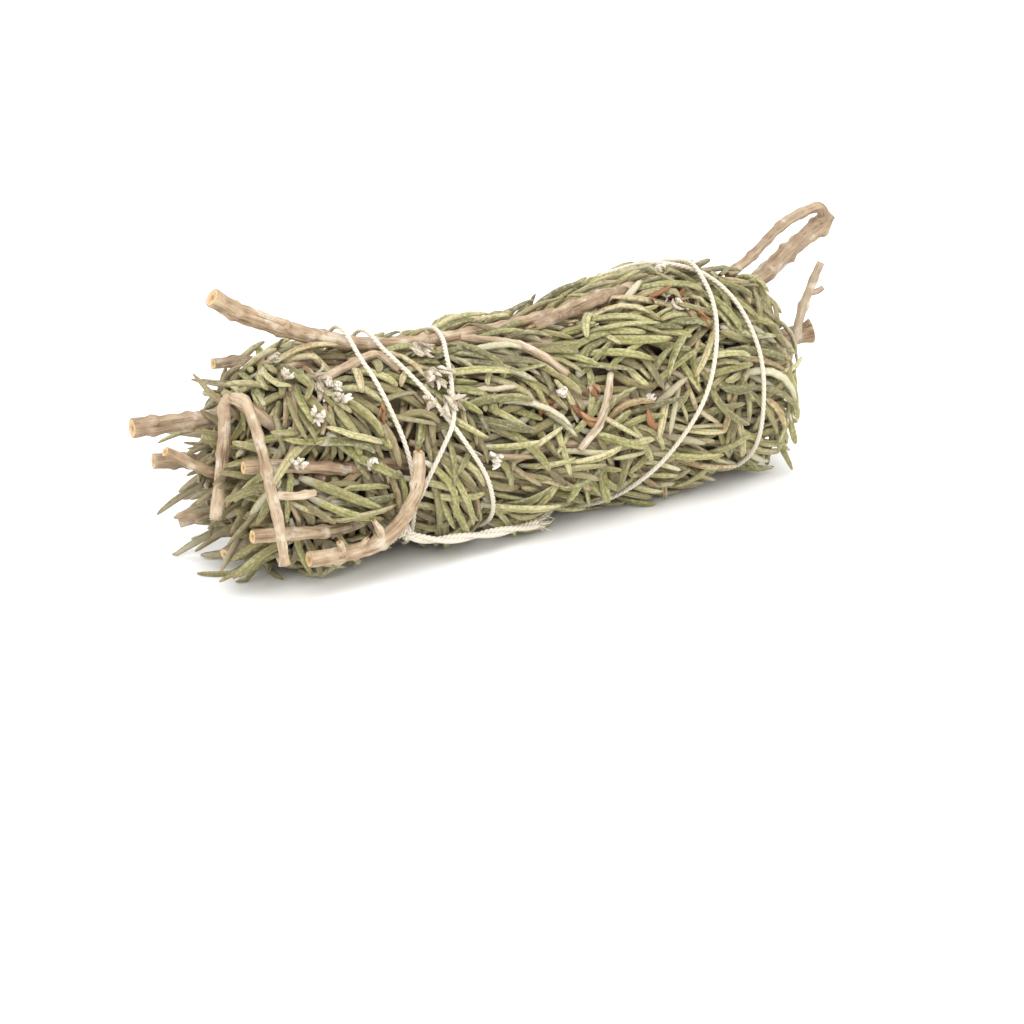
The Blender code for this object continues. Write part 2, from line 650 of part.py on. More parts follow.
class Sprig:
    """The leaves of one sprig: a core that fills its share of the bundle, and its needles."""

    def __init__(self, name, index, stem_names):
        self.name = name
        self.index = index
        self.start = HEART_START if index is None else CORE_STARTS[index] * MM
        self.stem_names = stem_names
        self.needles = []

    def half_width(self, reach):
        """Half the angle that the core takes up at that reach, in degrees."""
        return 180 / OUTER_SPRIGS - math.degrees(GAP / reach)

    def ring(self, along):
        """The core's section: an arch-shaped ring for an outer sprig, a round one for the heart."""
        inside = min(along - self.start, CORE_END - along)
        over = 1 - min(inside / CORE_ROUNDING, 1)
        fill = math.sqrt(1 - END_FILL * over ** 2)
        if self.index is None:
            return [
                place(along, 45 * k + TWIST * along / MM, HEART_RADIUS * fill) for k in range(8)
            ]
        turn = sprig_turn(self.index, along)
        middle = (CORE_INNER + BODY_RADIUS - LEAF_LAYER) / 2
        ring = []
        for across, outer in ((-1, 0), (0, 0), (1, 0), (1, 0.5), (1, 1), (0, 1), (-1, 1), (-1, 0.5)):
            reach = CORE_INNER + (core_surface(along, turn) - CORE_INNER) * outer
            reach = middle + (reach - middle) * fill
            ring.append(place(along, turn + across * self.half_width(reach) * fill, reach))
        return ring

    def stations(self):
        """Where the core's sections are, along X."""
        return [self.start + share * (CORE_END - self.start) for share in CORE_STATIONS]

    def sideways(self, along, turn):
        """Degrees from the sprig's middle to that place, between -180 and 180."""
        return (turn - sprig_turn(self.index, along) + 180) % 360 - 180

    def clears_cores(self, path):
        """Whether a needle stays above the neighbours' cores."""
        for share in np.linspace(0.1, 1, 10):
            along, turn, reach = polar(along_path(path, share))
            nearest = round((turn - sprig_turn(0, along)) * OUTER_SPRIGS / 360) % OUTER_SPRIGS
            beyond = max(CORE_STARTS[nearest] * MM - along, along - CORE_END) > NEEDLE_REACH + GAP
            if self.index is None:
                if not beyond and reach > HEART_RADIUS - ROOT_MARGIN:
                    return False
                continue
            half = self.half_width(max(reach, CORE_INNER)) - math.degrees(SIDE_MARGIN / reach)
            own = abs(self.sideways(along, turn)) < half and reach > CORE_INNER + ROOT_MARGIN
            above = reach > core_surface(along, turn) + NEEDLE_REACH + OVER_NEIGHBOUR
            beyond_heart = max(HEART_START - along, along - CORE_END) > NEEDLE_REACH + GAP
            clear_of_heart = beyond_heart or reach > HEART_RADIUS + NEEDLE_REACH + GAP
            if not (own or above or (beyond and clear_of_heart)):
                return False
        return True

    def side_needle(self, draw):
        """A needle sweeping up and along from the core to the outer surface."""
        along = draw.uniform(self.start + ROOT_MARGIN, CORE_END - ROOT_MARGIN)
        across = draw.uniform(-ROOT_SPREAD, ROOT_SPREAD)
        turn = sprig_turn(self.index, along) + across * self.half_width(BODY_RADIUS)
        lean = math.radians(leaf_lean(along, turn) + draw.gauss(0, LEAN_SPREAD))
        backward = TURNED_BACK[along > self.start + NEAR_CUT_END]
        forward = -1 if draw.random() < backward else 1
        length = draw.uniform(*NEEDLE_LENGTH)
        run, round_way = forward * length * math.cos(lean), forward * length * math.sin(lean)
        rise = draw.uniform(LOWEST_RISE, 1.0)

        def at(share, above):
            where = along + run * share
            spot = turn + math.degrees(round_way * share / BODY_RADIUS)
            point = place(where, spot, core_surface(where, spot) + above)
            point[2] = max(point[2], GROUND + LOWEST_NEEDLE)
            return point

        root = at(0.0, -ROOT_SUNK)
        bend = at(NEEDLE_TAPER, BEND_HEIGHTS[0] + (LEAF_LAYER - BEND_HEIGHTS[1]) * rise)
        tip = at(1.0, TIP_HEIGHTS[0] + (LEAF_LAYER - TIP_HEIGHTS[1]) * rise)
        outward = bend - place(bend[0], 0, 0)
        return Needle(root, bend, tip, outward / np.linalg.norm(outward))

    def tuft_needle(self, draw, end):
        """A needle standing out of the core's end."""
        start = CORE_END - TUFT_ROOT if end > 0 else self.start + TUFT_ROOT
        if self.index is None:
            turn = draw.uniform(0, 360)
            reach = HEART_RADIUS * TUFT_SPREAD * math.sqrt(draw.uniform(0.05, 1.4))
        else:
            across = draw.uniform(-TUFT_SPREAD, TUFT_SPREAD)
            turn = sprig_turn(self.index, start) + across * self.half_width(BODY_RADIUS)
            reach = draw.uniform(CORE_INNER + TUFT_MARGIN, BODY_RADIUS - LEAF_LAYER - TUFT_MARGIN)
        length = draw.uniform(*NEEDLE_LENGTH) * (TIP_TUFT_SCALE if end > 0 else 1.0)
        flare = draw.uniform(*TUFT_FLARE) * length
        drift = math.degrees(draw.uniform(-TUFT_DRIFT, TUFT_DRIFT) * length / BODY_RADIUS)
        root = place(start - end * TUFT_MARGIN, turn, reach)
        bend = place(start + end * 0.6 * length, turn + 0.5 * drift, reach + 0.45 * flare)
        tip = place(start + end * 0.95 * length, turn + drift, reach + flare)
        outward = bend - place(bend[0], 0, 0)
        outward += np.array([0, 0, 0.3 * MM])
        return Needle(root, bend, tip, outward / np.linalg.norm(outward))

    def plant(self, draw, room, make, count):
        """Adds up to that many needles, each tried until it keeps clear of everything else."""
        for _ in range(count):
            for _ in range(TRIES):
                needle = make(draw)
                if not self.clears_cores(needle.path):
                    continue
                if room.clear(self.name, needle.legs, Needle.LEG_RADII):
                    self.needles.append(needle)
                    room.take(self.name, needle.legs, Needle.LEG_RADII)
                    break

    def build(self, home, look, stems):
        """Core, holes for its stems, and needles, as one solid that is flat where it rests."""
        core = mesh_object(
            self.name, lambda shape: loft(shape, [self.ring(along) for along in self.stations()]), home
        )
        for stem in stems:
            if stem.name in self.stem_names:
                apply_boolean(core, "DIFFERENCE", cutter=stem.hole_cutter(home))
        blades = new_collection(self.name + "_blades")
        for needle in self.needles:
            needle.build(blades)
        apply_boolean(core, "UNION", others=blades)
        lowest = min(vertex.co.z for vertex in core.data.vertices)
        if lowest < GROUND:
            apply_boolean(core, "DIFFERENCE", cutter=ground_cutter(home))
        finish(core, self.name, look)


def along_path(path, share):
    """The point at that share of a bent path, counting its legs as equal."""
    legs = len(path) - 1
    leg = min(int(share * legs), legs - 1)
    part = share * legs - leg
    return path[leg] * (1 - part) + path[leg + 1] * part


def ground_cutter(home):
    """A block whose top is the surface that the bundle lies on."""
    bpy.ops.mesh.primitive_cube_add(size=1, location=(0, 0, GROUND - 10 * MM))
    block = bpy.context.object
    block.scale = (0.3, 0.2, 20 * MM)
    bpy.ops.object.transform_apply(location=False, rotation=False, scale=True)
    bpy.context.collection.objects.unlink(block)
    home.objects.link(block)
    return block


def round_robin(sprigs, draw, room):
    """Plants needles a few at a time in each sprig in turn, so that none crowds out the next."""
    batch = 6
    for sprig in sprigs[:-1]:
        for end in (-1, 1):
            sprig.plant(draw, room, lambda d, s=sprig, e=end: s.tuft_needle(d, e), TUFT_NEEDLES)
    for end in (-1, 1):
        sprigs[-1].plant(draw, room, lambda d, e=end: sprigs[-1].tuft_needle(d, e), HEART_TUFT)
    for _ in range(NEEDLES_PER_SPRIG // batch):
        for sprig in sprigs[:-1]:
            sprig.plant(draw, room, sprig.side_needle, batch)


# ---- the whole bundle ---------------------------------------------------------------------

def centre_on_origin(home):
    """Moves everything so that the origin is on the ground, under the middle of its box."""
    corners = np.array([vertex.co for thing in home.objects for vertex in thing.data.vertices])
    middle = (corners.min(axis=0) + corners.max(axis=0)) / 2
    for thing in home.objects:
        for vertex in thing.data.vertices:
            vertex.co.x -= middle[0]
            vertex.co.y -= middle[1]
            vertex.co.z -= GROUND


def main():
    """Builds every piece of the bundle."""
    clear_scene()
    home = new_collection("rosemary_bundle")
    leaf = material("dried_leaf", LEAF_GREEN, 0.75)
    inner_leaf = material("shaded_leaf", HEART_GREEN, 0.8)
    bark = material("bark", BARK_BROWN, 0.7)
    cotton = material("cotton", COTTON_WHITE, 0.9)

    stems = sprig_stems() + tip_twigs() + heart_stems() + lying_twigs()
    top_twig = next(stem for stem in stems if stem.name == "top_twig")
    winding = lay_string([top_twig.runs[0]])
    tails = tail_strands()
    room = Room()
    for stem in stems:
        stem.occupy(room)
    for cord in (winding, *tails):
        room.take("string", cord, [STRING_RADIUS] * len(cord))

    sprigs = []
    for index in range(OUTER_SPRIGS):
        held = [f"sprig_{index + 1}_stem"]
        held += {3: ["tip_twig_forked"], 1: ["tip_twig_upright"]}.get(index, [])
        sprigs.append(Sprig(f"sprig_{index + 1}_leaves", index, held))
    sprigs.append(Sprig("heart_leaves", None, ["heart_stem", "heart_stub"]))
    round_robin(sprigs, random.Random(SEED), room)

    for stem in stems:
        stem.build(home, bark)
    for sprig in sprigs:
        sprig.build(home, inner_leaf if sprig.index is None else leaf, stems)
    build_string(home, cotton, winding, tails)
    centre_on_origin(home)


main()
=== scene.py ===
"""Dresses a dried rosemary bundle: its needles, its woody twigs and the cotton string round it.

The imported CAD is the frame. Every leafy node is replaced by a mesh of fine needles in sprays,
every stem by a barked twig with cut ends, and the string by real twisted plies on the same
route. Lengths in this file are millimetres until a mesh is made.

A place on the bundle is (along, turn, reach): along X, degrees round the axis from the front
(-Y) towards the top (+Z), and distance from the axis.
"""

import logging
import math
from collections.abc import Sequence
from dataclasses import dataclass, field
from enum import Enum

import bpy
import numpy as np
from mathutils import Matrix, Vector, noise


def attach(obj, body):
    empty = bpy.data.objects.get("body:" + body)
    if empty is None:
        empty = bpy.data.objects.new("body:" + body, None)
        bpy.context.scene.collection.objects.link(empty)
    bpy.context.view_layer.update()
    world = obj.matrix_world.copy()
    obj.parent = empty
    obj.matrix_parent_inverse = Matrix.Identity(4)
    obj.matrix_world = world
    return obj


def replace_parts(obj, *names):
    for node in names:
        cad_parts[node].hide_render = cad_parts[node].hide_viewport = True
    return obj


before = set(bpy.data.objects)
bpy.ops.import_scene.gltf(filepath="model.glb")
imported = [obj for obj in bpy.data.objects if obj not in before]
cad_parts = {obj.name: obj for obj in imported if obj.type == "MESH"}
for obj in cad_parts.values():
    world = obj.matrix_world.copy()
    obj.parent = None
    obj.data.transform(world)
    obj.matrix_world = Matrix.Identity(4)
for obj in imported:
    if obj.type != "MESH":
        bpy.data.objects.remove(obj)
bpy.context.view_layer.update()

LOG = logging.getLogger("rosemary_bundle")

Spot = tuple[float, float, float]

MM = 0.001
NOT_IN_CAD = ""              # what a twig stands for when it is too small to be in the CAD
LEG_POINTS = 24              # points that a smooth path first draws between two of its own

# The bundle's own form, as the CAD was laid out
BODY_HALF = 58.0
BODY_RADIUS = 20.4
LEAF_LAYER = 5.8             # depth of standing needles over the matted core
AXIS = (-1.752, 0.651, 18.4)  # where the bundle's axis crosses X = 0 in the frame
BULGES = (                   # along, length, way it faces, height
    (33, 19, 95, 5.6), (-42, 14, 80, 1.0), (4, 16, 0, 0.9), (-47, 7, 88, 1.8),
)
OUTER_SPRIGS = 8
FIRST_TURN = 5.0
TWIST = -0.25                # degrees for each millimetre along
CORE_STARTS = (-52, -52, -51, -54, -60, -58, -54, -50)
HEART_START = -54
CORE_END = 52
CORE_INNER = 8.5
HEART_RADIUS = 7.6
SEED = 23
ROOM_AROUND_STRING = 0.3     # kept free of needles
ROOM_AROUND_TWIGS = 0.35
GROUND = 0.1                 # lowest a round piece may reach


# ---- places on the bundle ----


def place(along: np.ndarray, turn: np.ndarray, reach: np.ndarray) -> np.ndarray:
    """Turns places on the bundle into points.

    Args:
        along: Distance along the axis.
        turn: Degrees round the axis from the front towards the top.
        reach: Distance from the axis.

    Returns:
        Points of the frame in millimetres, in the last axis.
    """
    angle = np.radians(turn)
    along, across, up = np.broadcast_arrays(along, -reach * np.cos(angle), reach * np.sin(angle))
    return np.stack([along + AXIS[0], across + AXIS[1], up + AXIS[2]], axis=-1)


def from_axis(points: np.ndarray) -> np.ndarray:
    """The way from the bundle's axis straight out to each point."""
    return points - place(points[..., 0] - AXIS[0], 0.0, 0.0)


def polar(points: np.ndarray) -> tuple[np.ndarray, np.ndarray, np.ndarray]:
    """Turns points of the frame back into (along, turn, reach)."""
    across, up = AXIS[1] - points[..., 1], points[..., 2] - AXIS[2]
    return points[..., 0] - AXIS[0], np.degrees(np.arctan2(up, across)), np.hypot(across, up)


def layout(x: float, y: float, z: float) -> np.ndarray:
    """A point given from the spot on the ground under the bundle's axis, before it was centred."""
    return np.array([x + AXIS[0], y + AXIS[1], z + AXIS[2] - 20.0])


def swell(along: np.ndarray, turn: np.ndarray, centre: float, length: float, towards: float,
          amount: float) -> np.ndarray:
    """A soft bulge of the bundle, centred along it and facing one way."""
    fall = np.exp(-(((along - centre) / length) ** 2))
    return amount * fall * np.maximum(0.0, np.cos(np.radians(turn - towards)))


def surface(along: np.ndarray, turn: np.ndarray) -> np.ndarray:
    """Radius of the needles' outer surface, with the bulges between the string's turns.

    Args:
        along: Distance along the axis.
        turn: Degrees round it.

    Returns:
        The radius there.
    """
    reach = BODY_RADIUS + 0.35 * np.sin(along / 5.5 + np.radians(2 * turn))
    for bulge in BULGES:
        reach = reach + swell(along, turn, *bulge)
    end = np.minimum(np.maximum(0.0, np.abs(along) - (BODY_HALF - 12)) / 12, 1.2)
    return reach - 2.0 * end ** 2


def core_surface(along: np.ndarray, turn: np.ndarray) -> np.ndarray:
    """Radius of the matted cores, which the needles stand out of."""
    return surface(along, turn) - LEAF_LAYER


def end_fall(along: np.ndarray) -> np.ndarray:
    """How far the outer surface drops towards the axis beyond the ends of the cores."""
    return 0.1 * np.maximum(0.0, np.abs(along) - 51.0) ** 2


def sprig_turn(index: int, along: np.ndarray) -> np.ndarray:
    """Degrees round the axis of an outer sprig's middle at that place along the bundle."""
    return FIRST_TURN + index * 360 / OUTER_SPRIGS + TWIST * (along + 53)


def inside_core(index: int, along: float) -> Spot:
    """Middle of an outer sprig's core, for the stems that stand in it.

    Args:
        index: Which sprig.
        along: Distance along the axis.

    Returns:
        A layout point.
    """
    middle = (CORE_INNER + BODY_RADIUS - LEAF_LAYER) / 2
    angle = math.radians(float(sprig_turn(index, along)))
    return along, -middle * math.cos(angle), 20.0 + middle * math.sin(angle)


def wrapped(angles: np.ndarray) -> np.ndarray:
    """Angles in radians, brought to within half a turn of 0."""
    return (angles + math.pi) % (2 * math.pi) - math.pi


def travelled(points: np.ndarray) -> np.ndarray:
    """How far along a path each of its points lies."""
    return np.concatenate([[0], np.cumsum(np.linalg.norm(np.diff(points[:, :3], axis=0), axis=1))])


def smooth_path(points: Sequence[Sequence[float]], count: int) -> np.ndarray:
    """Draws a smooth curve through points.

    Args:
        points: The points, with any further values that run along with them.
        count: How many evenly spaced points to return.

    Returns:
        An array of that many rows.
    """
    knots = np.array(points, float)
    ends = np.vstack([2 * knots[0] - knots[1], knots, 2 * knots[-1] - knots[-2]])
    share = np.linspace(0, 1, LEG_POINTS, endpoint=False)[:, None]
    legs = [
        0.5 * (2 * b + (c - a) * share + (2 * a - 5 * b + 4 * c - d) * share ** 2
               + (3 * b - a - 3 * c + d) * share ** 3)
        for a, b, c, d in zip(ends, ends[1:], ends[2:], ends[3:])
    ]
    dense = np.vstack([*legs, knots[-1:]])
    done = travelled(dense)
    wanted = np.linspace(0, done[-1], count)
    return np.column_stack([np.interp(wanted, done, dense[:, k]) for k in range(dense.shape[1])])


def unit(vectors: np.ndarray) -> np.ndarray:
    """The vectors scaled to length 1."""
    return vectors / np.maximum(np.linalg.norm(vectors, axis=-1, keepdims=True), 1e-9)


def raised(points: np.ndarray, lowest: float) -> np.ndarray:
    """The points, with none nearer the ground than that."""
    return np.maximum(points, (-math.inf, -math.inf, lowest))


def lumpy(points: np.ndarray, fineness: float) -> np.ndarray:
    """An even, random height from about -1 to 1 for each point of a tube's rings."""
    return np.array([[noise.noise(Vector(p * fineness)) for p in ring] for ring in points])


def path_length(points: np.ndarray) -> float:
    """Length of a path of points."""
    return float(np.linalg.norm(np.diff(points[:, :3], axis=0), axis=1).sum())


# ---- meshes ----


class MeshStock:
    """Closed tubes gathered for one piece, each point with four painted facts."""

    def __init__(self) -> None:
        """Starts empty."""
        self.points: list[np.ndarray] = []
        self.facts: list[np.ndarray] = []
        self.grain: list[np.ndarray] = []
        self.corners: list[np.ndarray] = []
        self.sides: list[np.ndarray] = []
        self.count = 0

    def add_tubes(self, rings: np.ndarray, facts: np.ndarray, grain: np.ndarray) -> None:
        """Skins tubes of equal make, each closed at both ends by a fan round a middle point.

        Args:
            rings: Points, shaped (tubes, stations, sides, 3).
            facts: Painted facts, shaped (tubes, stations, sides, 4).
            grain: Place in millimetres along and across the material, shaped like facts.
        """
        tubes, stations, sides = rings.shape[:3]

        def with_ends(values: np.ndarray) -> np.ndarray:
            """Each tube's values, then those of the middles of its two ends."""
            ends = [values[:, k].mean(axis=1, keepdims=True) for k in (0, -1)]
            return np.concatenate([values.reshape(tubes, -1, values.shape[-1]), *ends], axis=1)

        points, painted = with_ends(rings), with_ends(facts)
        here = np.arange(sides)
        following = (here + 1) % sides
        rows = np.arange(stations - 1)[:, None] * sides
        upper = rows + sides
        skin = np.stack([rows + here, rows + following, upper + following, upper + here], axis=-1)
        top = (stations - 1) * sides
        fans = np.concatenate([
            np.stack([np.full(sides, stations * sides), following, here], axis=-1),
            np.stack([np.full(sides, stations * sides + 1), top + here, top + following], axis=-1),
        ])
        pattern = np.concatenate([skin.reshape(-1), fans.reshape(-1)])
        lengths = np.concatenate([np.full(skin.size // 4, 4), np.full(len(fans), 3)])
        per_tube = points.shape[1]
        offsets = self.count + np.arange(tubes)[:, None] * per_tube
        self.points.append(points.reshape(-1, 3))
        self.facts.append(painted.reshape(-1, 4))
        self.grain.append(with_ends(grain).reshape(-1, 4))
        self.corners.append((offsets + pattern).reshape(-1))
        self.sides.append(np.tile(lengths, tubes))
        self.count += tubes * per_tube

    def add_tube(self, rings: np.ndarray, facts: np.ndarray, shift: float) -> None:
        """Skins one tube.

        Args:
            rings: Points, shaped (stations, sides, 3).
            facts: Painted facts, shaped (stations, sides, 4).
            shift: How far along the material it starts.
        """
        self.add_tubes(rings[None], facts[None], tube_grain(rings, shift)[None])

    def triangles(self) -> int:
        """Number of triangles gathered so far."""
        return int(sum((lengths - 2).sum() for lengths in self.sides))

    def build(self, name: str, finish: bpy.types.Material) -> bpy.types.Object:
        """Makes the object.

        Args:
            name: The piece's name.
            finish: Its material.

        Returns:
            The object, linked to the scene and smooth shaded.
        """
        points = np.concatenate(self.points) * MM
        corners = np.concatenate(self.corners)
        lengths = np.concatenate(self.sides)
        mesh = bpy.data.meshes.new(name)
        mesh.vertices.add(len(points))
        mesh.vertices.foreach_set("co", points.astype(np.float32).ravel())
        mesh.loops.add(len(corners))
        mesh.loops.foreach_set("vertex_index", corners.astype(np.int32))
        mesh.polygons.add(len(lengths))
        starts = np.concatenate([[0], np.cumsum(lengths)[:-1]])
        mesh.polygons.foreach_set("loop_start", starts.astype(np.int32))
        mesh.update(calc_edges=True)
        mesh.validate()
        for label, values in (("facts", self.facts), ("grain", self.grain)):
            painted = mesh.color_attributes.new(label, "FLOAT_COLOR", "POINT")
            painted.data.foreach_set("color", np.concatenate(values).astype(np.float32).ravel())
        mesh.shade_smooth()
        mesh.materials.append(finish)
        made = bpy.data.objects.new(name, mesh)
        bpy.context.scene.collection.objects.link(made)
        return made


def bearings(sides: int) -> np.ndarray:
    """Angles of the points of a ring."""
    return np.linspace(0, 2 * math.pi, sides, endpoint=False)


def paint(rings: np.ndarray, *facts: np.ndarray | float) -> np.ndarray:
    """Gathers up to four facts for every point.

    Args:
        rings: The points.
        facts: Each a number or shaped like the points; the missing ones are 0.

    Returns:
        Four values for each point.
    """
    painted = np.zeros((*rings.shape[:-1], 4))
    for k, fact in enumerate(facts):
        painted[..., k] = fact
    return painted


def tube_grain(rings: np.ndarray, shift: float) -> np.ndarray:
    """Places along and across the material of one tube.

    Args:
        rings: The tube's points, shaped (stations, sides, 3).
        shift: How far along the material it starts, so that no two tubes look alike.

    Returns:
        Millimetres along, and across in two directions, shaped (stations, sides, 4).
    """
    middle = rings.mean(axis=1)
    thick = np.linalg.norm(rings - middle[:, None], axis=-1)
    around = bearings(rings.shape[1])
    along = travelled(middle)[:, None] + shift
    return paint(rings, along, thick * np.cos(around), thick * np.sin(around) + shift, 1)


def frames_along(path: np.ndarray, outward: np.ndarray) -> tuple[np.ndarray, np.ndarray]:
    """Finds the two directions across a path at each point.

    Args:
        path: Points, shaped (..., stations, 3).
        outward: The way that its upper face looks, shaped like path.

    Returns:
        Unit vectors to the side and up, shaped like path.
    """
    tangent = unit(np.gradient(path, axis=-2))
    side = unit(np.cross(tangent, outward))
    return side, np.cross(side, tangent)


def circles(side: np.ndarray, up: np.ndarray, sides: int, flat: float = 1.0) -> np.ndarray:
    """Offsets from a path to the points of a ring of radius 1 round each of its points.

    Args:
        side: Directions to the side, as frames_along gives them.
        up: Directions up.
        sides: How many points a ring has.
        flat: Its height against its width.

    Returns:
        Offsets shaped (..., stations, sides, 3).
    """
    around = bearings(sides)[:, None]
    return side[..., None, :] * np.cos(around) + up[..., None, :] * np.sin(around) * flat


def bristle_rings(roots: np.ndarray, tips: np.ndarray, radii: np.ndarray, profile: Sequence[float],
                  draw: np.random.Generator, flat: float = 1.0, sides: int = 6) -> np.ndarray:
    """Shapes short tapering tubes, each bowed a little.

    Args:
        roots: Where they start, shaped (tubes, 3).
        tips: Where they end.
        radii: Their widest radius.
        profile: Radius at evenly spaced stations, as shares of the widest.
        draw: Source of their bows.
        flat: Their thickness against their width.
        sides: How many sides they have.

    Returns:
        Points shaped (tubes, stations, sides, 3).
    """
    share = np.linspace(0, 1, len(profile))[:, None]
    reach = np.linalg.norm(tips - roots, axis=1)[:, None, None]
    bow = draw.normal(0, 0.12, (len(roots), 1, 3)) * reach
    path = roots[:, None] + (tips - roots)[:, None] * share + bow * 4 * share * (1 - share)
    side, up = frames_along(path, unit(from_axis(path)) + 0.01)
    thick = (radii[:, None] * np.array(profile))[..., None, None]
    return path[:, :, None] + circles(side, up, sides, flat) * thick


# ---- finishes ----


def linear(code: str) -> tuple[float, float, float, float]:
    """An sRGB hex colour as linear values with full alpha."""
    values = [int(code[k:k + 2], 16) / 255 for k in (1, 3, 5)]
    return (*(v / 12.92 if v <= 0.04045 else ((v + 0.055) / 1.055) ** 2.4 for v in values), 1.0)


Value = bpy.types.NodeSocket | float | str | tuple[float, ...]

ADD = {"operation": "ADD", "use_clamp": True}
TIMES = {"operation": "MULTIPLY", "use_clamp": True}
SMOOTH = {"interpolation_type": "SMOOTHSTEP"}
COLOUR = {"data_type": "RGBA"}
MIXED = 2                    # which output of a colour mix holds the colour


def between(value: Value, low: float, high: float, start: float = 0.0, end: float = 1.0) -> dict[int, Value]:
    """Inputs that map low..high to start..end."""
    return {0: value, 1: low, 2: high, 3: start, 4: end}


def evenly(colours: Sequence[str]) -> dict[float, str]:
    """Colours by their place on a ramp, evenly spaced."""
    return {k / (len(colours) - 1): code for k, code in enumerate(colours)}


def over(share: Value, under: Value, top: Value) -> dict[int, Value]:
    """Inputs that lay one colour over another by that share."""
    return {0: share, 6: under, 7: top}


class Finish:
    """A procedural material under construction."""

    def __init__(self, name: str) -> None:
        """Starts a material with its Principled shader and the facts painted on the mesh.

        Args:
            name: The material's name.
        """
        self.material = bpy.data.materials.new(name)
        self.material.use_nodes = True
        self.tree = self.material.node_tree
        self.shader = self.tree.nodes["Principled BSDF"]
        facts = {"attribute_name": "facts"}
        painted = self.node("Attribute", facts)
        self.red, self.green, self.blue = (self.node("SeparateColor", {}, {0: painted}, k) for k in range(3))
        self.alpha = self.node("Attribute", facts, {}, 3)
        self.grain = self.node("Attribute", {"attribute_name": "grain"}, {}, 1)
        self.spot = self.node("TexCoord", {}, {}, 3)

    def node(self, kind: str, settings: dict[str, object] | None = None,
             links: dict[int | str, Value] | None = None, output: int = 0) -> bpy.types.NodeSocket:
        """Adds a shader node.

        Args:
            kind: The node's type, without its ShaderNode prefix.
            settings: Properties of the node; "stops" are a ramp's colours by place.
            links: Its inputs by name or number: another output, a value or a hex colour.
            output: Which of its outputs to give back.

        Returns:
            That output.
        """
        made = self.tree.nodes.new("ShaderNode" + kind)
        for name, value in (settings or {}).items():
            if name != "stops":
                setattr(made, name, value)
                continue
            band = made.color_ramp.elements
            for k, (place_on, code) in enumerate(sorted(value.items())):
                stop = band[k] if k < len(band) else band.new(place_on)
                stop.position, stop.color = place_on, linear(code)
        for key, value in (links or {}).items():
            if isinstance(value, bpy.types.NodeSocket):
                self.tree.links.new(value, made.inputs[key])
            else:
                made.inputs[key].default_value = linear(value) if isinstance(value, str) else value
        return made.outputs[output]

    def drawn_out(self, long: float, wide: float) -> dict[str, Value]:
        """Prepares a noise of streaks along the grain.

        Args:
            long: Length of a streak in millimetres.
            wide: Its width.

        Returns:
            The noise's inputs.
        """
        squeeze = {0: self.grain, 1: (1 / long, 1 / wide, 1 / wide)}
        stretched = self.node("VectorMath", {"operation": "MULTIPLY"}, squeeze)
        return {"Vector": stretched, "Scale": 1.0, "Detail": 2.5}

    def patches(self, size: float) -> dict[str, Value]:
        """Inputs of a noise whose patches are that many millimetres across."""
        return {"Vector": self.spot, "Scale": 1 / (size * MM), "Detail": 3.0}

    def finish(self, varied: dict[str, Value], constants: dict[str, float]) -> bpy.types.Material:
        """Joins everything to the shader.

        Args:
            varied: Outputs by the name of the shader's socket that they feed.
            constants: Values that are the same all over, by socket name.

        Returns:
            The material.
        """
        for name, value in varied.items():
            self.tree.links.new(value, self.shader.inputs[name])
        for name, value in constants.items():
            self.shader.inputs[name].default_value = value
        return self.material


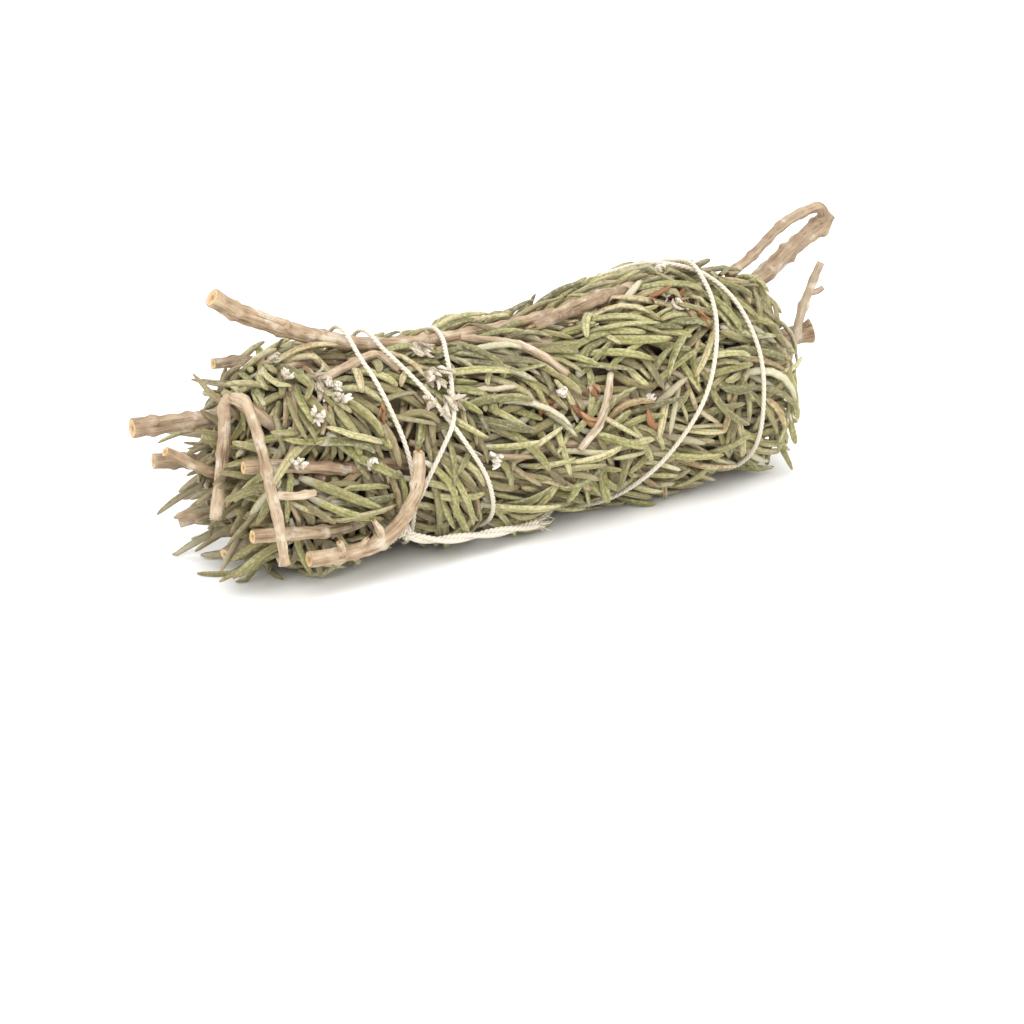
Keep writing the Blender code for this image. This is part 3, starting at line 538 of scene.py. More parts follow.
@dataclass(frozen=True)
class DriedLeaf:
    """Dried rosemary needle: leathery upper face, rolled margins, grey felt underneath.

    Drying dulls the green to olive and straw. The eye sees a matt, pebbled blade, a faint groove
    down its middle, paler rolled margins and grey-white wool where it was joined to its twig.
    """

    name: str = "dried_rosemary_leaf"
    tones: tuple[str, ...] = (
        "#5d5a35", "#75723f", "#8d8a4d", "#a29d60", "#b9b37d", "#c6b68a", "#a98a5f",
    )
    shade: str = "#5b5638"
    glint: str = "#d3cda6"
    felt: str = "#c9c2a8"
    # painted shade in the groove down each needle's middle
    groove: str = "#6a6544"
    tip: str = "#8f7146"
    wool: str = "#d9d2c1"
    # old brown leaves in part, and in part painted shade of the depths among the needles and on the cores
    litter_and_shade: str = "#7b6b4f"
    pebble: float = 0.42        # mm; the real skin's bumps are finer, and would not show
    pebble_depth: float = 0.14
    crease: tuple[float, float] = (3.0, 0.25)  # length and width of a dried crease
    crease_depth: float = 0.05
    blotch: tuple[float, float] = (5.0, 1.6)
    roughness: float = 0.6
    ior: float = 1.45           # plant cuticle wax

    def make(self) -> bpy.types.Material:
        """Builds the material.

        Returns:
            The material. Facts painted on the needles: tone, share along the needle, place
            across it (0 the groove, 0.5 the rolled edge, 1 the middle underneath) and age with
            depth, which lays on the litter colour: old leaves in part, painted shade in part.
        """
        work = Finish(self.name)
        node = work.node
        blotch = node("TexNoise", {}, work.drawn_out(*self.blotch))
        pebbles = node("TexNoise", {}, work.drawn_out(self.pebble * 1.5, self.pebble))
        creases = node("TexNoise", {}, work.drawn_out(*self.crease))
        change = node("MapRange", {}, between(blotch, 0.3, 0.7, -0.15, 0.15))
        tone = node("Math", ADD, {0: work.red, 1: change})
        body = node("ValToRGB", {"stops": evenly(self.tones)}, {0: tone})
        for share, colour in (
            (node("MapRange", {}, between(pebbles, 0.5, 0.75, 0.0, 0.45)), self.glint),
            (node("MapRange", {}, between(pebbles, 0.52, 0.3, 0.0, 0.6)), self.shade),
            (node("MapRange", {}, between(creases, 0.55, 0.75, 0.0, 0.45)), self.shade),
            # painted shade in the groove
            (node("MapRange", SMOOTH, between(work.blue, 0.0, 0.16, 0.5, 0.0)), self.groove),
            (node("Math", TIMES, {
                0: node("MapRange", SMOOTH, between(work.blue, 0.3, 0.48, 0.0, 0.4)),
                1: node("MapRange", {}, between(pebbles, 0.3, 0.6)),
            }), self.felt),
            (node("MapRange", SMOOTH, between(work.blue, 0.58, 0.8, 0.0, 0.7)), self.felt),
            (node("MapRange", {}, between(work.green, 0.9, 1.0, 0.0, 0.7)), self.tip),
            (node("MapRange", SMOOTH, between(work.green, 0.2, 0.03, 0.0, 0.75)), self.wool),
            # litter colour laid on by age and depth: old leaves in part, painted shade of depth in part
            (node("MapRange", {}, between(work.alpha, 0.0, 1.0, 0.0, 0.9)), self.litter_and_shade),
        ):
            body = node("Mix", COLOUR, over(share, body, colour), MIXED)
        ridged = node("Bump", {}, {"Height": creases, "Distance": self.crease_depth * MM, "Strength": 1.0})
        pebbled = {"Height": pebbles, "Distance": self.pebble_depth * MM, "Strength": 1.0, "Normal": ridged}
        relief = node("Bump", {}, pebbled)
        rough = node("MapRange", {}, between(blotch, 0.3, 0.7, self.roughness - 0.1, self.roughness + 0.15))
        return work.finish(
            {"Base Color": body, "Roughness": rough, "Normal": relief},
            {"IOR": self.ior, "Sheen Weight": 0.1, "Sheen Roughness": 0.6, "Specular IOR Level": 0.45},
        )


@dataclass(frozen=True)
class Bark:
    """Thin dry rosemary bark over pale wood, which splits and flakes in long strips.

    It is tan to grey brown and quite matt, worn paler in patches. A cut end shows straw-coloured
    wood with faint rings round a darker pith.
    """

    name: str = "rosemary_bark"
    outer: tuple[str, ...] = ("#594737", "#7d6751", "#9c8469", "#b79f82", "#c9b79c", "#d6c9b3", "#ddd4c4")
    crack: str = "#5b4536"
    worn: str = "#d9cfbd"
    grey: str = "#a89c8b"
    wood: str = "#c9a372"
    pale_wood: str = "#dcc39a"
    pith: str = "#8f6a42"
    strip: tuple[float, float] = (11.0, 0.9)  # length and width of a strip that peels
    fibre: tuple[float, float] = (4.0, 0.22)
    blotch: float = 3.2
    grit: float = 0.4           # mm; real bark is gritty more finely than would show
    depths: tuple[float, float, float] = (0.06, 0.2, 0.45)  # relief of grit, fibres and strips
    roughness: float = 0.82
    ior: float = 1.5            # cellulose

    def make(self) -> bpy.types.Material:
        """Builds the material.

        Returns:
            The material. Facts painted on the twigs: tone, how far it is a cut face, share of
            the radius there, and how grey the bark is.
        """
        work = Finish(self.name)
        node = work.node
        strips = node("TexNoise", {}, work.drawn_out(*self.strip))
        fibres = node("TexNoise", {}, work.drawn_out(*self.fibre))
        blotch = node("TexNoise", {}, work.patches(self.blotch))
        grit = node("TexNoise", {}, work.patches(self.grit))
        tone = work.red
        for streak, low, amount in ((strips, 0.3, 0.16), (fibres, 0.3, 0.1), (blotch, 0.35, 0.08)):
            change = node("MapRange", {}, between(streak, low, 1 - low, -amount, amount))
            tone = node("Math", ADD, {0: tone, 1: change})
        body = node("ValToRGB", {"stops": evenly(self.outer)}, {0: tone})
        greyed = {0: work.alpha, 1: node("MapRange", {}, between(blotch, 0.35, 0.6, 0.3, 1.0))}
        for share, colour in (
            (node("Math", TIMES, greyed), self.grey),
            (node("MapRange", SMOOTH, between(blotch, 0.56, 0.66, 0.0, 0.5)), self.worn),
            (node("MapRange", SMOOTH, between(strips, 0.36, 0.31, 0.0, 0.45)), self.crack),
            (node("MapRange", SMOOTH, between(fibres, 0.37, 0.29, 0.0, 0.5)), self.crack),
        ):
            body = node("Mix", COLOUR, over(share, body, colour), MIXED)
        year_rings = {
            0.0: self.pith, 0.2: self.pith, 0.3: self.wood, 0.8: self.pale_wood, 0.92: self.wood,
            1.0: self.crack,
        }
        rings = node("ValToRGB", {"stops": year_rings}, {0: work.blue})
        pores = node("MapRange", {}, between(grit, 0.45, 0.7, 0.0, 0.35))
        cut = node("Mix", COLOUR, over(pores, rings, self.pith), MIXED)
        body = node("Mix", COLOUR, over(work.green, body, cut), MIXED)
        shallow, *deeper = self.depths
        relief = node("Bump", {}, {"Height": grit, "Distance": shallow * MM, "Strength": 1.0})
        for height, depth in zip((fibres, strips), deeper):
            carved = {"Height": height, "Distance": depth * MM, "Strength": 1.0, "Normal": relief}
            relief = node("Bump", {}, carved)
        rough = node("MapRange", {}, between(fibres, 0.3, 0.7, self.roughness - 0.1, self.roughness + 0.1))
        return work.finish(
            {"Base Color": body, "Roughness": rough, "Normal": relief},
            {"IOR": self.ior, "Specular IOR Level": 0.3},
        )


@dataclass(frozen=True)
class CottonString:
    """Undyed cotton, spun and laid up in three plies.

    Its fibres scatter light, so it looks soft and cream, with shade between the plies.
    """

    name: str = "undyed_cotton"
    thread: str = "#dcd3c3"
    # painted shade between the plies; also the colour of the darker fibres
    hollow: str = "#b0a38c"
    stain: str = "#c2b498"
    fibre: tuple[float, float] = (1.6, 0.12)  # length and width; real fibres are finer than would show
    fibre_depth: float = 0.05
    blotch: float = 7.0
    roughness: float = 0.9
    ior: float = 1.53           # cotton fibre

    def make(self) -> bpy.types.Material:
        """Builds the material.

        Returns:
            The material. Facts painted on the plies: none, and the share of the way to the
            string's outside.
        """
        work = Finish(self.name)
        node = work.node
        fibres = node("TexNoise", {}, work.drawn_out(*self.fibre))
        stains = node("TexNoise", {}, work.patches(self.blotch))
        # painted shade between the plies: darker towards the string's middle
        outside = node("MapRange", SMOOTH, between(work.green, 0.3, 0.9))
        body = node("Mix", COLOUR, over(outside, self.hollow, self.thread), MIXED)
        for share, colour in (
            (node("MapRange", {}, between(fibres, 0.5, 0.75, 0.0, 0.35)), self.hollow),
            (node("MapRange", {}, between(stains, 0.45, 0.7, 0.0, 0.35)), self.stain),
        ):
            body = node("Mix", COLOUR, over(share, body, colour), MIXED)
        relief = node("Bump", {}, {"Height": fibres, "Distance": self.fibre_depth * MM, "Strength": 1.0})
        rough = node("MapRange", {}, between(fibres, 0.3, 0.7, self.roughness - 0.06, self.roughness + 0.06))
        return work.finish(
            {"Base Color": body, "Roughness": rough, "Normal": relief},
            {"IOR": self.ior, "Sheen Weight": 0.25, "Sheen Roughness": 0.5, "Specular IOR Level": 0.3},
        )


@dataclass(frozen=True)
class WoollyFelt:
    """Grey-white hairs that cover rosemary's young shoots and the cups of its flowers.

    The hairs are far too short to see one by one: the eye sees pale, very matt, dusty tufts.
    """

    name: str = "woolly_felt"
    tones: tuple[str, ...] = ("#7d6b56", "#a8977f", "#c8bda9", "#dcd5c8", "#e6e1d8")
    # painted shade at the roots of the tufts
    hollow: str = "#7f7058"
    fluff: float = 0.35         # mm; a tuft of hairs, since one hair would not show
    fluff_depth: float = 0.12
    roughness: float = 0.95
    ior: float = 1.45           # plant hair

    def make(self) -> bpy.types.Material:
        """Builds the material. Facts painted on the tufts: tone, and share from root to tip."""
        work = Finish(self.name)
        node = work.node
        fluff = node("TexNoise", {}, work.patches(self.fluff))
        change = node("MapRange", {}, between(fluff, 0.3, 0.7, -0.2, 0.2))
        tone = node("Math", ADD, {0: work.red, 1: change})
        body = node("ValToRGB", {"stops": evenly(self.tones)}, {0: tone})
        # painted shade: darker towards the roots, where the tufts crowd
        deep = node("MapRange", SMOOTH, between(work.green, 0.35, 0.0, 0.0, 0.45))
        body = node("Mix", COLOUR, over(deep, body, self.hollow), MIXED)
        relief = node("Bump", {}, {"Height": fluff, "Distance": self.fluff_depth * MM, "Strength": 1.0})
        return work.finish(
            {"Base Color": body, "Normal": relief},
            {"IOR": self.ior, "Roughness": self.roughness, "Sheen Weight": 0.3, "Sheen Roughness": 0.5,
             "Specular IOR Level": 0.2},
        )


# ---- string ----

# The string's route: (along, degrees round, distance from the axis).
STRING_ROUTE = [
    (-33, 333, 19.9), (-33.6, 300, 18.2), (-32, 264, 17.7), (-27, 230, 19.2), (-20, 200, 19.4),
    (-12, 175, 19.6), (2, 148, 20), (17, 126, 22), (31, 106, 24.8), (38.5, 88, 24.6), (42.6, 66, 23.4),
    (44.6, 34, 21.4), (45, 4, 19.6), (45, -28, 19.3), (44, -62, 18.2), (42.5, -96, 17.7),
    (40.5, -140, 19.2), (39, -185, 20.6), (38.6, -230, 23.7), (39.2, -262, 24.7), (39, -284, 24.5),
    (37, -306, 23.6), (33.8, -328, 22.1), (30.5, -348, 20.5), (26, -366, 20), (20, -388, 19.8),
    (13, -410, 19.5), (5, -428, 18.2), (-3, -450, 17.6), (-11, -475, 18.2), (-17.5, -498, 19.3),
    (-21, -516, 19.4), (-24.5, -545, 19.6), (-27.6, -580, 20), (-29.6, -612, 20.6), (-29.2, -632, 21),
    (-27.4, -656, 20.4), (-23.6, -684, 20.1), (-20.4, -702, 20), (-16, -726, 19.9), (-13.4, -752, 19.6),
    (-13, -780, 18.2), (-14, -812, 17.6), (-17.5, -842, 19.2), (-24, -872, 19.3), (-29, -902, 19.6),
    (-32.4, -940, 20.2), (-34.2, -972, 21), (-34.6, -992, 21.2), (-34, -1012, 20.6), (-33, -1036, 19.6),
    (-31.4, -1056, 18.3), (-30.4, -1072, 17.6), (-29.8, -1092, 17.6), (-29.2, -1112, 18.1),
    (-27.6, -1140, 18.2), (-24, -1176, 17.7), (-19.6, -1204, 19.2), (-16.6, -1228, 19.4),
    (-15.4, -1264, 19.6), (-15.2, -1300, 19.9), (-15.2, -1342, 20), (-16, -1358, 20.2),
    (-18, -1374, 20.2), (-21, -1402, 19.8), (-24.4, -1423, 19), (-27.2, -1438, 18.4),
    (-29.6, -1452, 18.4), (-33, -1467, 19.9),
]
TAIL_ROUTE = [
    (-33, -27, 19.9), (-30, -31, 21.2), (-25, -35, 21.9), (-16, -39, 22), (-7, -42, 21.9), (-3, -44, 21.6),
]


@dataclass
class StringWinding:
    """The string: one length wound round the bundle, its knot and its two loose ends."""

    finish: bpy.types.Material
    radius: float = 0.46
    plies: int = 3
    ply_radius: float = 0.245
    lay: float = 3.1            # length of one full twist of the plies
    lift: float = 0.3           # gap left where it passes over something
    tail_scale: float = 1.25    # the loose ends have begun to untwist
    step: float = 0.34          # between the rings of a ply
    sides: int = 7
    drawn_at: int = 20          # reach at which the route's angles are taken as lengths
    route_points: int = 1600
    same_pass: int = 6          # length of string that can't lie over itself
    climb: float = 0.5          # rise for each millimetre when it passes over something
    soften: int = 11            # points over which its rises are averaged
    frayed: int = 16            # loose fibres at each cut end
    path: np.ndarray = field(init=False)

    def lay_route(self, twigs: Sequence[np.ndarray]) -> None:
        """Works out the winding's line, lifted where it passes over itself or over a twig.

        Args:
            twigs: Paths of the twigs that lie under it, with their radii.
        """
        laid_flat = [(a, math.radians(t) * self.drawn_at, r) for a, t, r in STRING_ROUTE]
        bare = smooth_path(laid_flat, self.route_points)
        turns = bare[:, 1] / self.drawn_at
        along, reach = bare[:, 0], bare[:, 2]
        length = path_length(place(along, np.degrees(turns), reach))
        apart = int(self.same_pass / (length / len(bare)))
        lift = np.zeros(len(bare))
        for k in range(apart, len(bare) - apart):
            turned = wrapped(turns[:k - apart] - turns[k])
            crossing = np.hypot(along[:k - apart] - along[k], turned * reach[k]) < 2.1 * self.radius
            if crossing.any():
                top = (reach[:k - apart] + lift[:k - apart])[crossing].max()
                lift[k] = max(0.0, top + 2 * self.radius + self.lift - reach[k])
        inner = np.arange(len(bare))
        inner = (inner >= apart) & (inner < len(bare) - apart)
        for twig in twigs:
            spots, rounds, reaches = polar(twig[:, :3])
            for spot, bearing, top, thick in zip(spots, np.radians(rounds), reaches, twig[:, 3]):
                near = inner & (np.hypot(along - spot, wrapped(turns - bearing) * reach) < 1.6 * thick)
                lift[near] = np.maximum(lift[near], top + thick + self.radius + self.lift - reach[near])
        steepest = self.climb * length / len(bare)
        for k in range(1, len(lift)):
            lift[k] = max(lift[k], lift[k - 1] - steepest)
        for k in range(len(lift) - 2, -1, -1):
            lift[k] = max(lift[k], lift[k + 1] - steepest)
        padded = np.pad(lift, self.soften // 2, mode="edge")
        lift = np.convolve(padded, np.ones(self.soften) / self.soften, mode="valid")
        line = raised(place(along, np.degrees(turns), reach + lift), self.radius + 0.15)
        self.path = smooth_path(line[::3], int(path_length(line) / self.step))

    def ply_rings(self, path: np.ndarray, phase: float, offset: float, thick: float) -> np.ndarray:
        """The rings of one ply that winds round a path.

        Args:
            path: The string's own line.
            phase: The ply's place round it, in radians.
            offset: Distance of the ply's middle from the line.
            thick: The ply's radius.

        Returns:
            Points shaped (stations, sides, 3).
        """
        outward = from_axis(path)
        side, up = frames_along(path, outward)
        lean = (phase + 2 * math.pi * travelled(path) / self.lay)[:, None]
        centre = path + offset * (side * np.cos(lean) + up * np.sin(lean))
        return centre[:, None] + thick * circles(*frames_along(centre, outward), self.sides)

    def add_strand(self, stock: MeshStock, path: np.ndarray, scale: float = 1.0) -> None:
        """Adds the twisted plies of one strand.

        Args:
            stock: Where the mesh is gathered.
            path: The strand's line.
            scale: Thickness against the string's own.
        """
        offset = (self.radius - self.ply_radius) * scale
        for k in range(self.plies):
            rings = self.ply_rings(path, k * 2 * math.pi / self.plies, offset, self.ply_radius * scale)
            # share of the way out, for the painted shade between the plies
            away = np.linalg.norm(rings - path[:, None], axis=-1)
            stock.add_tube(rings, paint(rings, 0, away / (self.radius * scale)), 9.0 * k)

    def tails(self) -> list[np.ndarray]:
        """The lines of the two loose ends, twisted loosely round each other."""
        middle = smooth_path(place(*np.array(TAIL_ROUTE, float).T), 90)
        lean = np.arange(len(middle)) * 0.9 * 12 / 89
        spread = self.radius * 0.85
        lines = []
        for phase in (0.0, math.pi):
            turned = phase + lean
            aside = np.stack([0 * lean, spread * np.cos(turned), spread * np.sin(turned)], axis=-1)
            lines.append(middle + aside)
        return lines

    def knot(self) -> list[np.ndarray]:
        """The lines of the two wraps of the knot, where the ends leave the winding."""
        start = place(*np.array(TAIL_ROUTE[0], float))
        heading = unit(place(-25.0, -35.0, 21.9) - start)
        across = unit(np.cross(heading, np.array([0.0, 0.0, 1.0])))
        up = np.cross(across, heading)
        wraps = []
        for shift, size, slope in ((0.1, 1.1, 0.32), (1.15, 1.15, -0.25)):
            around = np.linspace(0, 2 * math.pi, 40)
            wraps.append(
                start + heading * (shift + slope * np.sin(around))[:, None]
                + size * (across * np.cos(around)[:, None] + up * np.sin(around)[:, None])
            )
        return wraps

    def fray(self, stock: MeshStock, tails: list[np.ndarray]) -> None:
        """Adds the loose fibres at the cut ends of the tails.

        Args:
            stock: Where the mesh is gathered.
            tails: The tails' lines.
        """
        draw = np.random.default_rng(SEED)
        for tail in tails:
            onward = unit(tail[-1] - tail[-6])
            count = self.frayed
            roots = tail[-1] + draw.normal(0, 0.18, (count, 3))
            tips = roots + onward * draw.uniform(1.2, 3.4, (count, 1)) + draw.normal(0, 0.7, (count, 3))
            tips = raised(tips, 2 * GROUND)
            rings = bristle_rings(roots, tips, np.full(count, 0.09), (1.0, 0.9, 0.8, 0.4), draw)
            stock.add_tubes(rings, paint(rings, 0, 0.9), np.stack([tube_grain(ring, 0.0) for ring in rings]))

    def build(self) -> bpy.types.Object:
        """Builds the whole string.

        Returns:
            The piece, which stands for the CAD string.
        """
        stock = MeshStock()
        self.add_strand(stock, self.path)
        for tail in self.tails():
            self.add_strand(stock, tail, self.tail_scale)
        self.fray(stock, self.tails())
        for wrap in self.knot():
            self.add_strand(stock, wrap)
        made = stock.build("cotton_string", self.finish)
        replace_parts(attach(made, "root"), "string")
        LOG.info("cotton_string: %.0f mm wound, %d triangles", path_length(self.path), stock.triangles())
        return made


# ---- twigs ----


class EndFace(Enum):
    """How a twig's free end looks, by how uneven its face is."""

    CUT = 0.05
    TORN = 0.45
    HIDDEN = 0.0


@dataclass
class Run:
    """One run of a twig: layout points with radii, and how its two ends look."""

    points: list[tuple[float, float, float, float]]
    start: EndFace = EndFace.CUT
    end: EndFace = EndFace.HIDDEN

    def line(self, spacing: float = 0.6) -> np.ndarray:
        """The run's line.

        Args:
            spacing: Distance between its points.

        Returns:
            Rows of (x, y, z, radius) in the frame.
        """
        rows = [(*layout(x, y, z), radius) for x, y, z, radius in self.points]
        count = max(8, int(path_length(np.array(rows)) / spacing))
        return smooth_path(rows, count)


@dataclass
class Twig:
    """A woody twig with swollen joints, leaf scars, ridged bark and cut ends."""

    name: str
    runs: list[Run]
    stands_for: str = NOT_IN_CAD
    tone: float = 0.6
    grey: float = 0.0
    joint_gap: float = 8.5
    joint_swell: float = 0.1
    joint_length: float = 0.9
    scar_height: float = 2.2    # of the leaf scars, against the joint's swelling
    ridge: float = 0.03         # height of its four ridges, as a share of its radius
    lump: float = 0.12          # unevenness, as a share of its radius and as a change of tone
    sides: int = 16

    def rings(self, run: Run, draw: np.random.Generator) -> tuple[np.ndarray, np.ndarray]:
        """Shapes one run.

        Args:
            run: The run.
            draw: Source of its irregularities.

        Returns:
            Points shaped (stations, sides, 3) and facts shaped (stations, sides, 4).
        """
        line = run.line()
        path, radius = line[:, :3], line[:, 3]
        side, up = frames_along(path, np.broadcast_to(np.array([0.05, -0.5, 0.85]), path.shape))
        around, done = bearings(self.sides), travelled(path)
        share = 0.96 + self.ridge * np.sin(4 * around + 0.25 * done[:, None] + draw.uniform(0, 6))
        joint = draw.uniform(2, self.joint_gap)
        facing = draw.uniform(0, math.pi)
        while joint < done[-1]:
            away = (done - joint)[:, None]
            share += self.joint_swell * np.exp(-(away / self.joint_length) ** 2)
            scar = np.maximum(0, np.abs(np.cos(around - facing)) - 0.55) / 0.45
            share += self.scar_height * self.joint_swell * np.exp(-((away - 0.3) / 0.6) ** 2) * scar
            joint += self.joint_gap * draw.uniform(0.7, 1.3)
            facing += math.pi / 2
        offsets = circles(side, up, self.sides)
        lumps = lumpy(path[:, None] + offsets, 0.7)
        share += self.lump * lumps
        rings = path[:, None] + offsets * (radius[:, None] * share)[..., None]
        facts = paint(rings, self.tone + self.lump * lumps, 0, 1, self.grey)
        for first, kind in ((True, run.start), (False, run.end)):
            if kind is not EndFace.HIDDEN:
                rings, facts = self.end_face(rings, facts, first, kind, draw)
        return rings, facts

    @staticmethod
    def end_face(rings: np.ndarray, facts: np.ndarray, first: bool, kind: EndFace,
                 draw: np.random.Generator) -> tuple[np.ndarray, np.ndarray]:
        """Adds the rings of a cut or torn end.

        Args:
            rings: The run's points.
            facts: The run's facts.
            first: Whether it is the run's first end.
            kind: How the end looks.
            draw: Source of its irregularities.

        Returns:
            The points and facts with the end's rings added.
        """
        if not first:
            rings, facts = rings[::-1], facts[::-1]
        rim, inward = rings[0], unit(rings[2].mean(axis=0) - rings[0].mean(axis=0))
        middle = rim.mean(axis=0)
        faces, painted = [], []
        for share in (0.25, 0.6, 0.86, 0.97):
            ring = middle + (rim - middle) * share
            push = kind.value * draw.uniform(-1, 1, len(rim)) - 0.08 * (1 - share)
            ring = ring - inward * push[:, None] * (1 if share < 0.95 else 0.3)
            colour = facts[0].copy()
            colour[:, 1] = 1.0
            colour[:, 2] = share
            faces.append(ring)
            painted.append(colour)
        rings = np.concatenate([np.array(faces), rings])
        facts = np.concatenate([np.array(painted), facts])
        return (rings, facts) if first else (rings[::-1], facts[::-1])

    def build(self, finish: bpy.types.Material) -> bpy.types.Object:
        """Builds the twig.

        Args:
            finish: Its bark.

        Returns:
            The piece, which stands for its CAD node if it has one.
        """
        draw = np.random.default_rng(SEED + sum(map(ord, self.name)))
        stock = MeshStock()
        for run in self.runs:
            stock.add_tube(*self.rings(run, draw), draw.uniform(0, 90))
        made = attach(stock.build(self.name, finish), "root")
        if self.stands_for:
            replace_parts(made, self.stands_for)
        LOG.info("%s: %d triangles", self.name, stock.triangles())
        return made


class TwigSet:
    """All the woody pieces of the bundle."""

    SUNK = (3, 9, 20)           # a stem's points inside its core, from the core's start
    LYING = (0, 3, 7)           # outer sprigs whose stem lies along the surface before it goes in
    LYING_LENGTH = 14
    FOLDED = 1

    def __init__(self, finish: bpy.types.Material) -> None:
        """Lays the twigs out.

        Args:
            finish: Their bark.
        """
        self.finish = finish
        self.twigs = [*self.sprig_stems(), *self.heart_stems(), *self.tip_twigs(), *self.lying_twigs(),
                      *self.small_twigs()]

    def sprig_stems(self) -> list[Twig]:
        """The stem of each outer sprig, from its cut end into the core. The second is folded."""
        free_ends = [
            [(-61.4, -13.8, 27.5, 1.25), (-55, -14.2, 26.6, 1.2), (-50, -14.6, 25.6, 1.2),
             (-44, -14.4, 24, 1.15)],
            [(-60.2, -7.4, 38.2, 1.1), (-57, -7.4, 35.6, 1.15)],
            [(-75.5, 1.5, 32.5, 1.75), (-64, 1.5, 31.7, 1.7), (-56, 1.3, 31.4, 1.6)],
            [(-58, 5.4, 40.1, 1.05), (-50, 6.2, 38.8, 1.05), (-43.5, 7.4, 33.5, 1.05)],
            [(-67.5, 12.8, 20.6, 1.5), (-62.5, 12.2, 20.1, 1.45)],
            [(-64.5, 9.8, 9.4, 1.5), (-60, 8.4, 10.4, 1.4)],
            [(-61, -3, 6.6, 1.4), (-57, -1.6, 7.6, 1.35)],
            [(-61.5, -16.6, 15.6, 1.3), (-53, -16.4, 14.2, 1.25), (-45, -15.6, 12.9, 1.2),
             (-39, -13, 12.2, 1.15)],
        ]
        folded = [
            Run([(-60.4, -7.4, 38.3, 1.15), (-61.2, -6.6, 36.6, 1.15), (-61.7, -6.5, 29.9, 1.2),
                 (-63.2, -6.5, 19.3, 1.25), (-64, -6.5, 15.8, 1.2)], EndFace.HIDDEN, EndFace.TORN),
            Run([(-60.2, -7.4, 38.2, 1.1), (-58.5, -10, 37.2, 1.05), (-58.4, -15.2, 30.8, 1.0),
                 (-58.3, -18.3, 23.8, 1.0), (-58, -20.2, 18.6, 1.0), (-57.8, -21.6, 11.2, 0.9)],
                EndFace.HIDDEN, EndFace.CUT),
        ]
        tones = (0.42, 0.46, 0.34, 0.3, 0.4, 0.34, 0.4, 0.47)
        greys = (0.1, 0.2, 0.35, 0.5, 0.3, 0.3, 0.3, 0.1)
        stems = []
        for index, free in enumerate(free_ends):
            radius = free[-1][3]
            start = CORE_STARTS[index] + (self.LYING_LENGTH if index in self.LYING else 0)
            inside = [(*inside_core(index, start + depth), radius) for depth in self.SUNK]
            runs = [Run(free + inside)] + (folded if index == self.FOLDED else [])
            node = f"sprig_{index + 1}_stem"
            stems.append(Twig(node + "_bark", runs, node, tone=tones[index], grey=greys[index]))
        return stems

    @staticmethod
    def heart_stems() -> list[Twig]:
        """The heart's own stem at the cut end, and a stout cut stub at its tip end."""
        cut_end = Run([
            (-71.4, -3, 28.8, 1.0), (-62.4, -3, 22.9, 1.05), (-57, -1.5, 20.8, 1.15),
            (-48, 0, 20, 1.2), (-34, 0, 20, 1.1),
        ])
        stub = Run(
            [(36, 1.5, 21.5, 1.9), (50, 1.8, 22.6, 1.95), (60, 1, 24.6, 2.0), (69.5, -1, 26.2, 2.0)],
            EndFace.HIDDEN, EndFace.CUT,
        )
        return [
            Twig("heart_stem_bark", [cut_end], "heart_stem", tone=0.35),
            Twig("heart_stub_bark", [stub], "heart_stub", tone=0.3),
        ]

    @staticmethod
    def tip_twigs() -> list[Twig]:
        """Twigs that come out at the tip end: a forked one and a thin upright one."""
        forked = Run(
            [(*inside_core(3, 36), 1.5), (*inside_core(3, 46), 1.6), (57, 5, 35.2, 1.7), (64, 6, 38.4, 1.9),
             (70, 6, 42.4, 1.8), (75.5, 6, 45.4, 2.0), (77.7, 6, 47.8, 1.65)],
            EndFace.HIDDEN, EndFace.TORN,
        )
        side = Run(
            [(77, 6, 47.2, 1.3), (74.5, 5.6, 49.6, 1.05), (66.5, 5, 47.9, 1.05), (61.5, 5, 44.4, 0.95),
             (57, 4.6, 41.4, 1.05), (52, 4.2, 39.4, 1.0)],
            EndFace.HIDDEN, EndFace.TORN,
        )
        upright = Run(
            [(*inside_core(1, 38), 1.0), (*inside_core(1, 47), 1.0), (57, -8.4, 24.2, 0.95),
             (62, -5.6, 26.8, 0.95), (65.6, -2.8, 31.5, 0.9), (68.2, -2, 36, 0.9), (70.4, -2, 40.8, 0.8)],
            EndFace.HIDDEN, EndFace.CUT,
        )
        bud = Run([(67.6, -2.2, 34.8, 0.65), (69.6, -2.4, 35, 0.6), (70.8, -2.6, 35.6, 0.45)],
                  EndFace.HIDDEN, EndFace.CUT)
        return [
            Twig("tip_twig_forked_bark", [forked, side], "tip_twig_forked", tone=0.36, grey=0.4,
                 joint_gap=4.5),
            Twig("tip_twig_upright_bark", [upright, bud], "tip_twig_upright", tone=0.4, grey=0.7,
                 joint_gap=5.0, joint_swell=0.16),
        ]

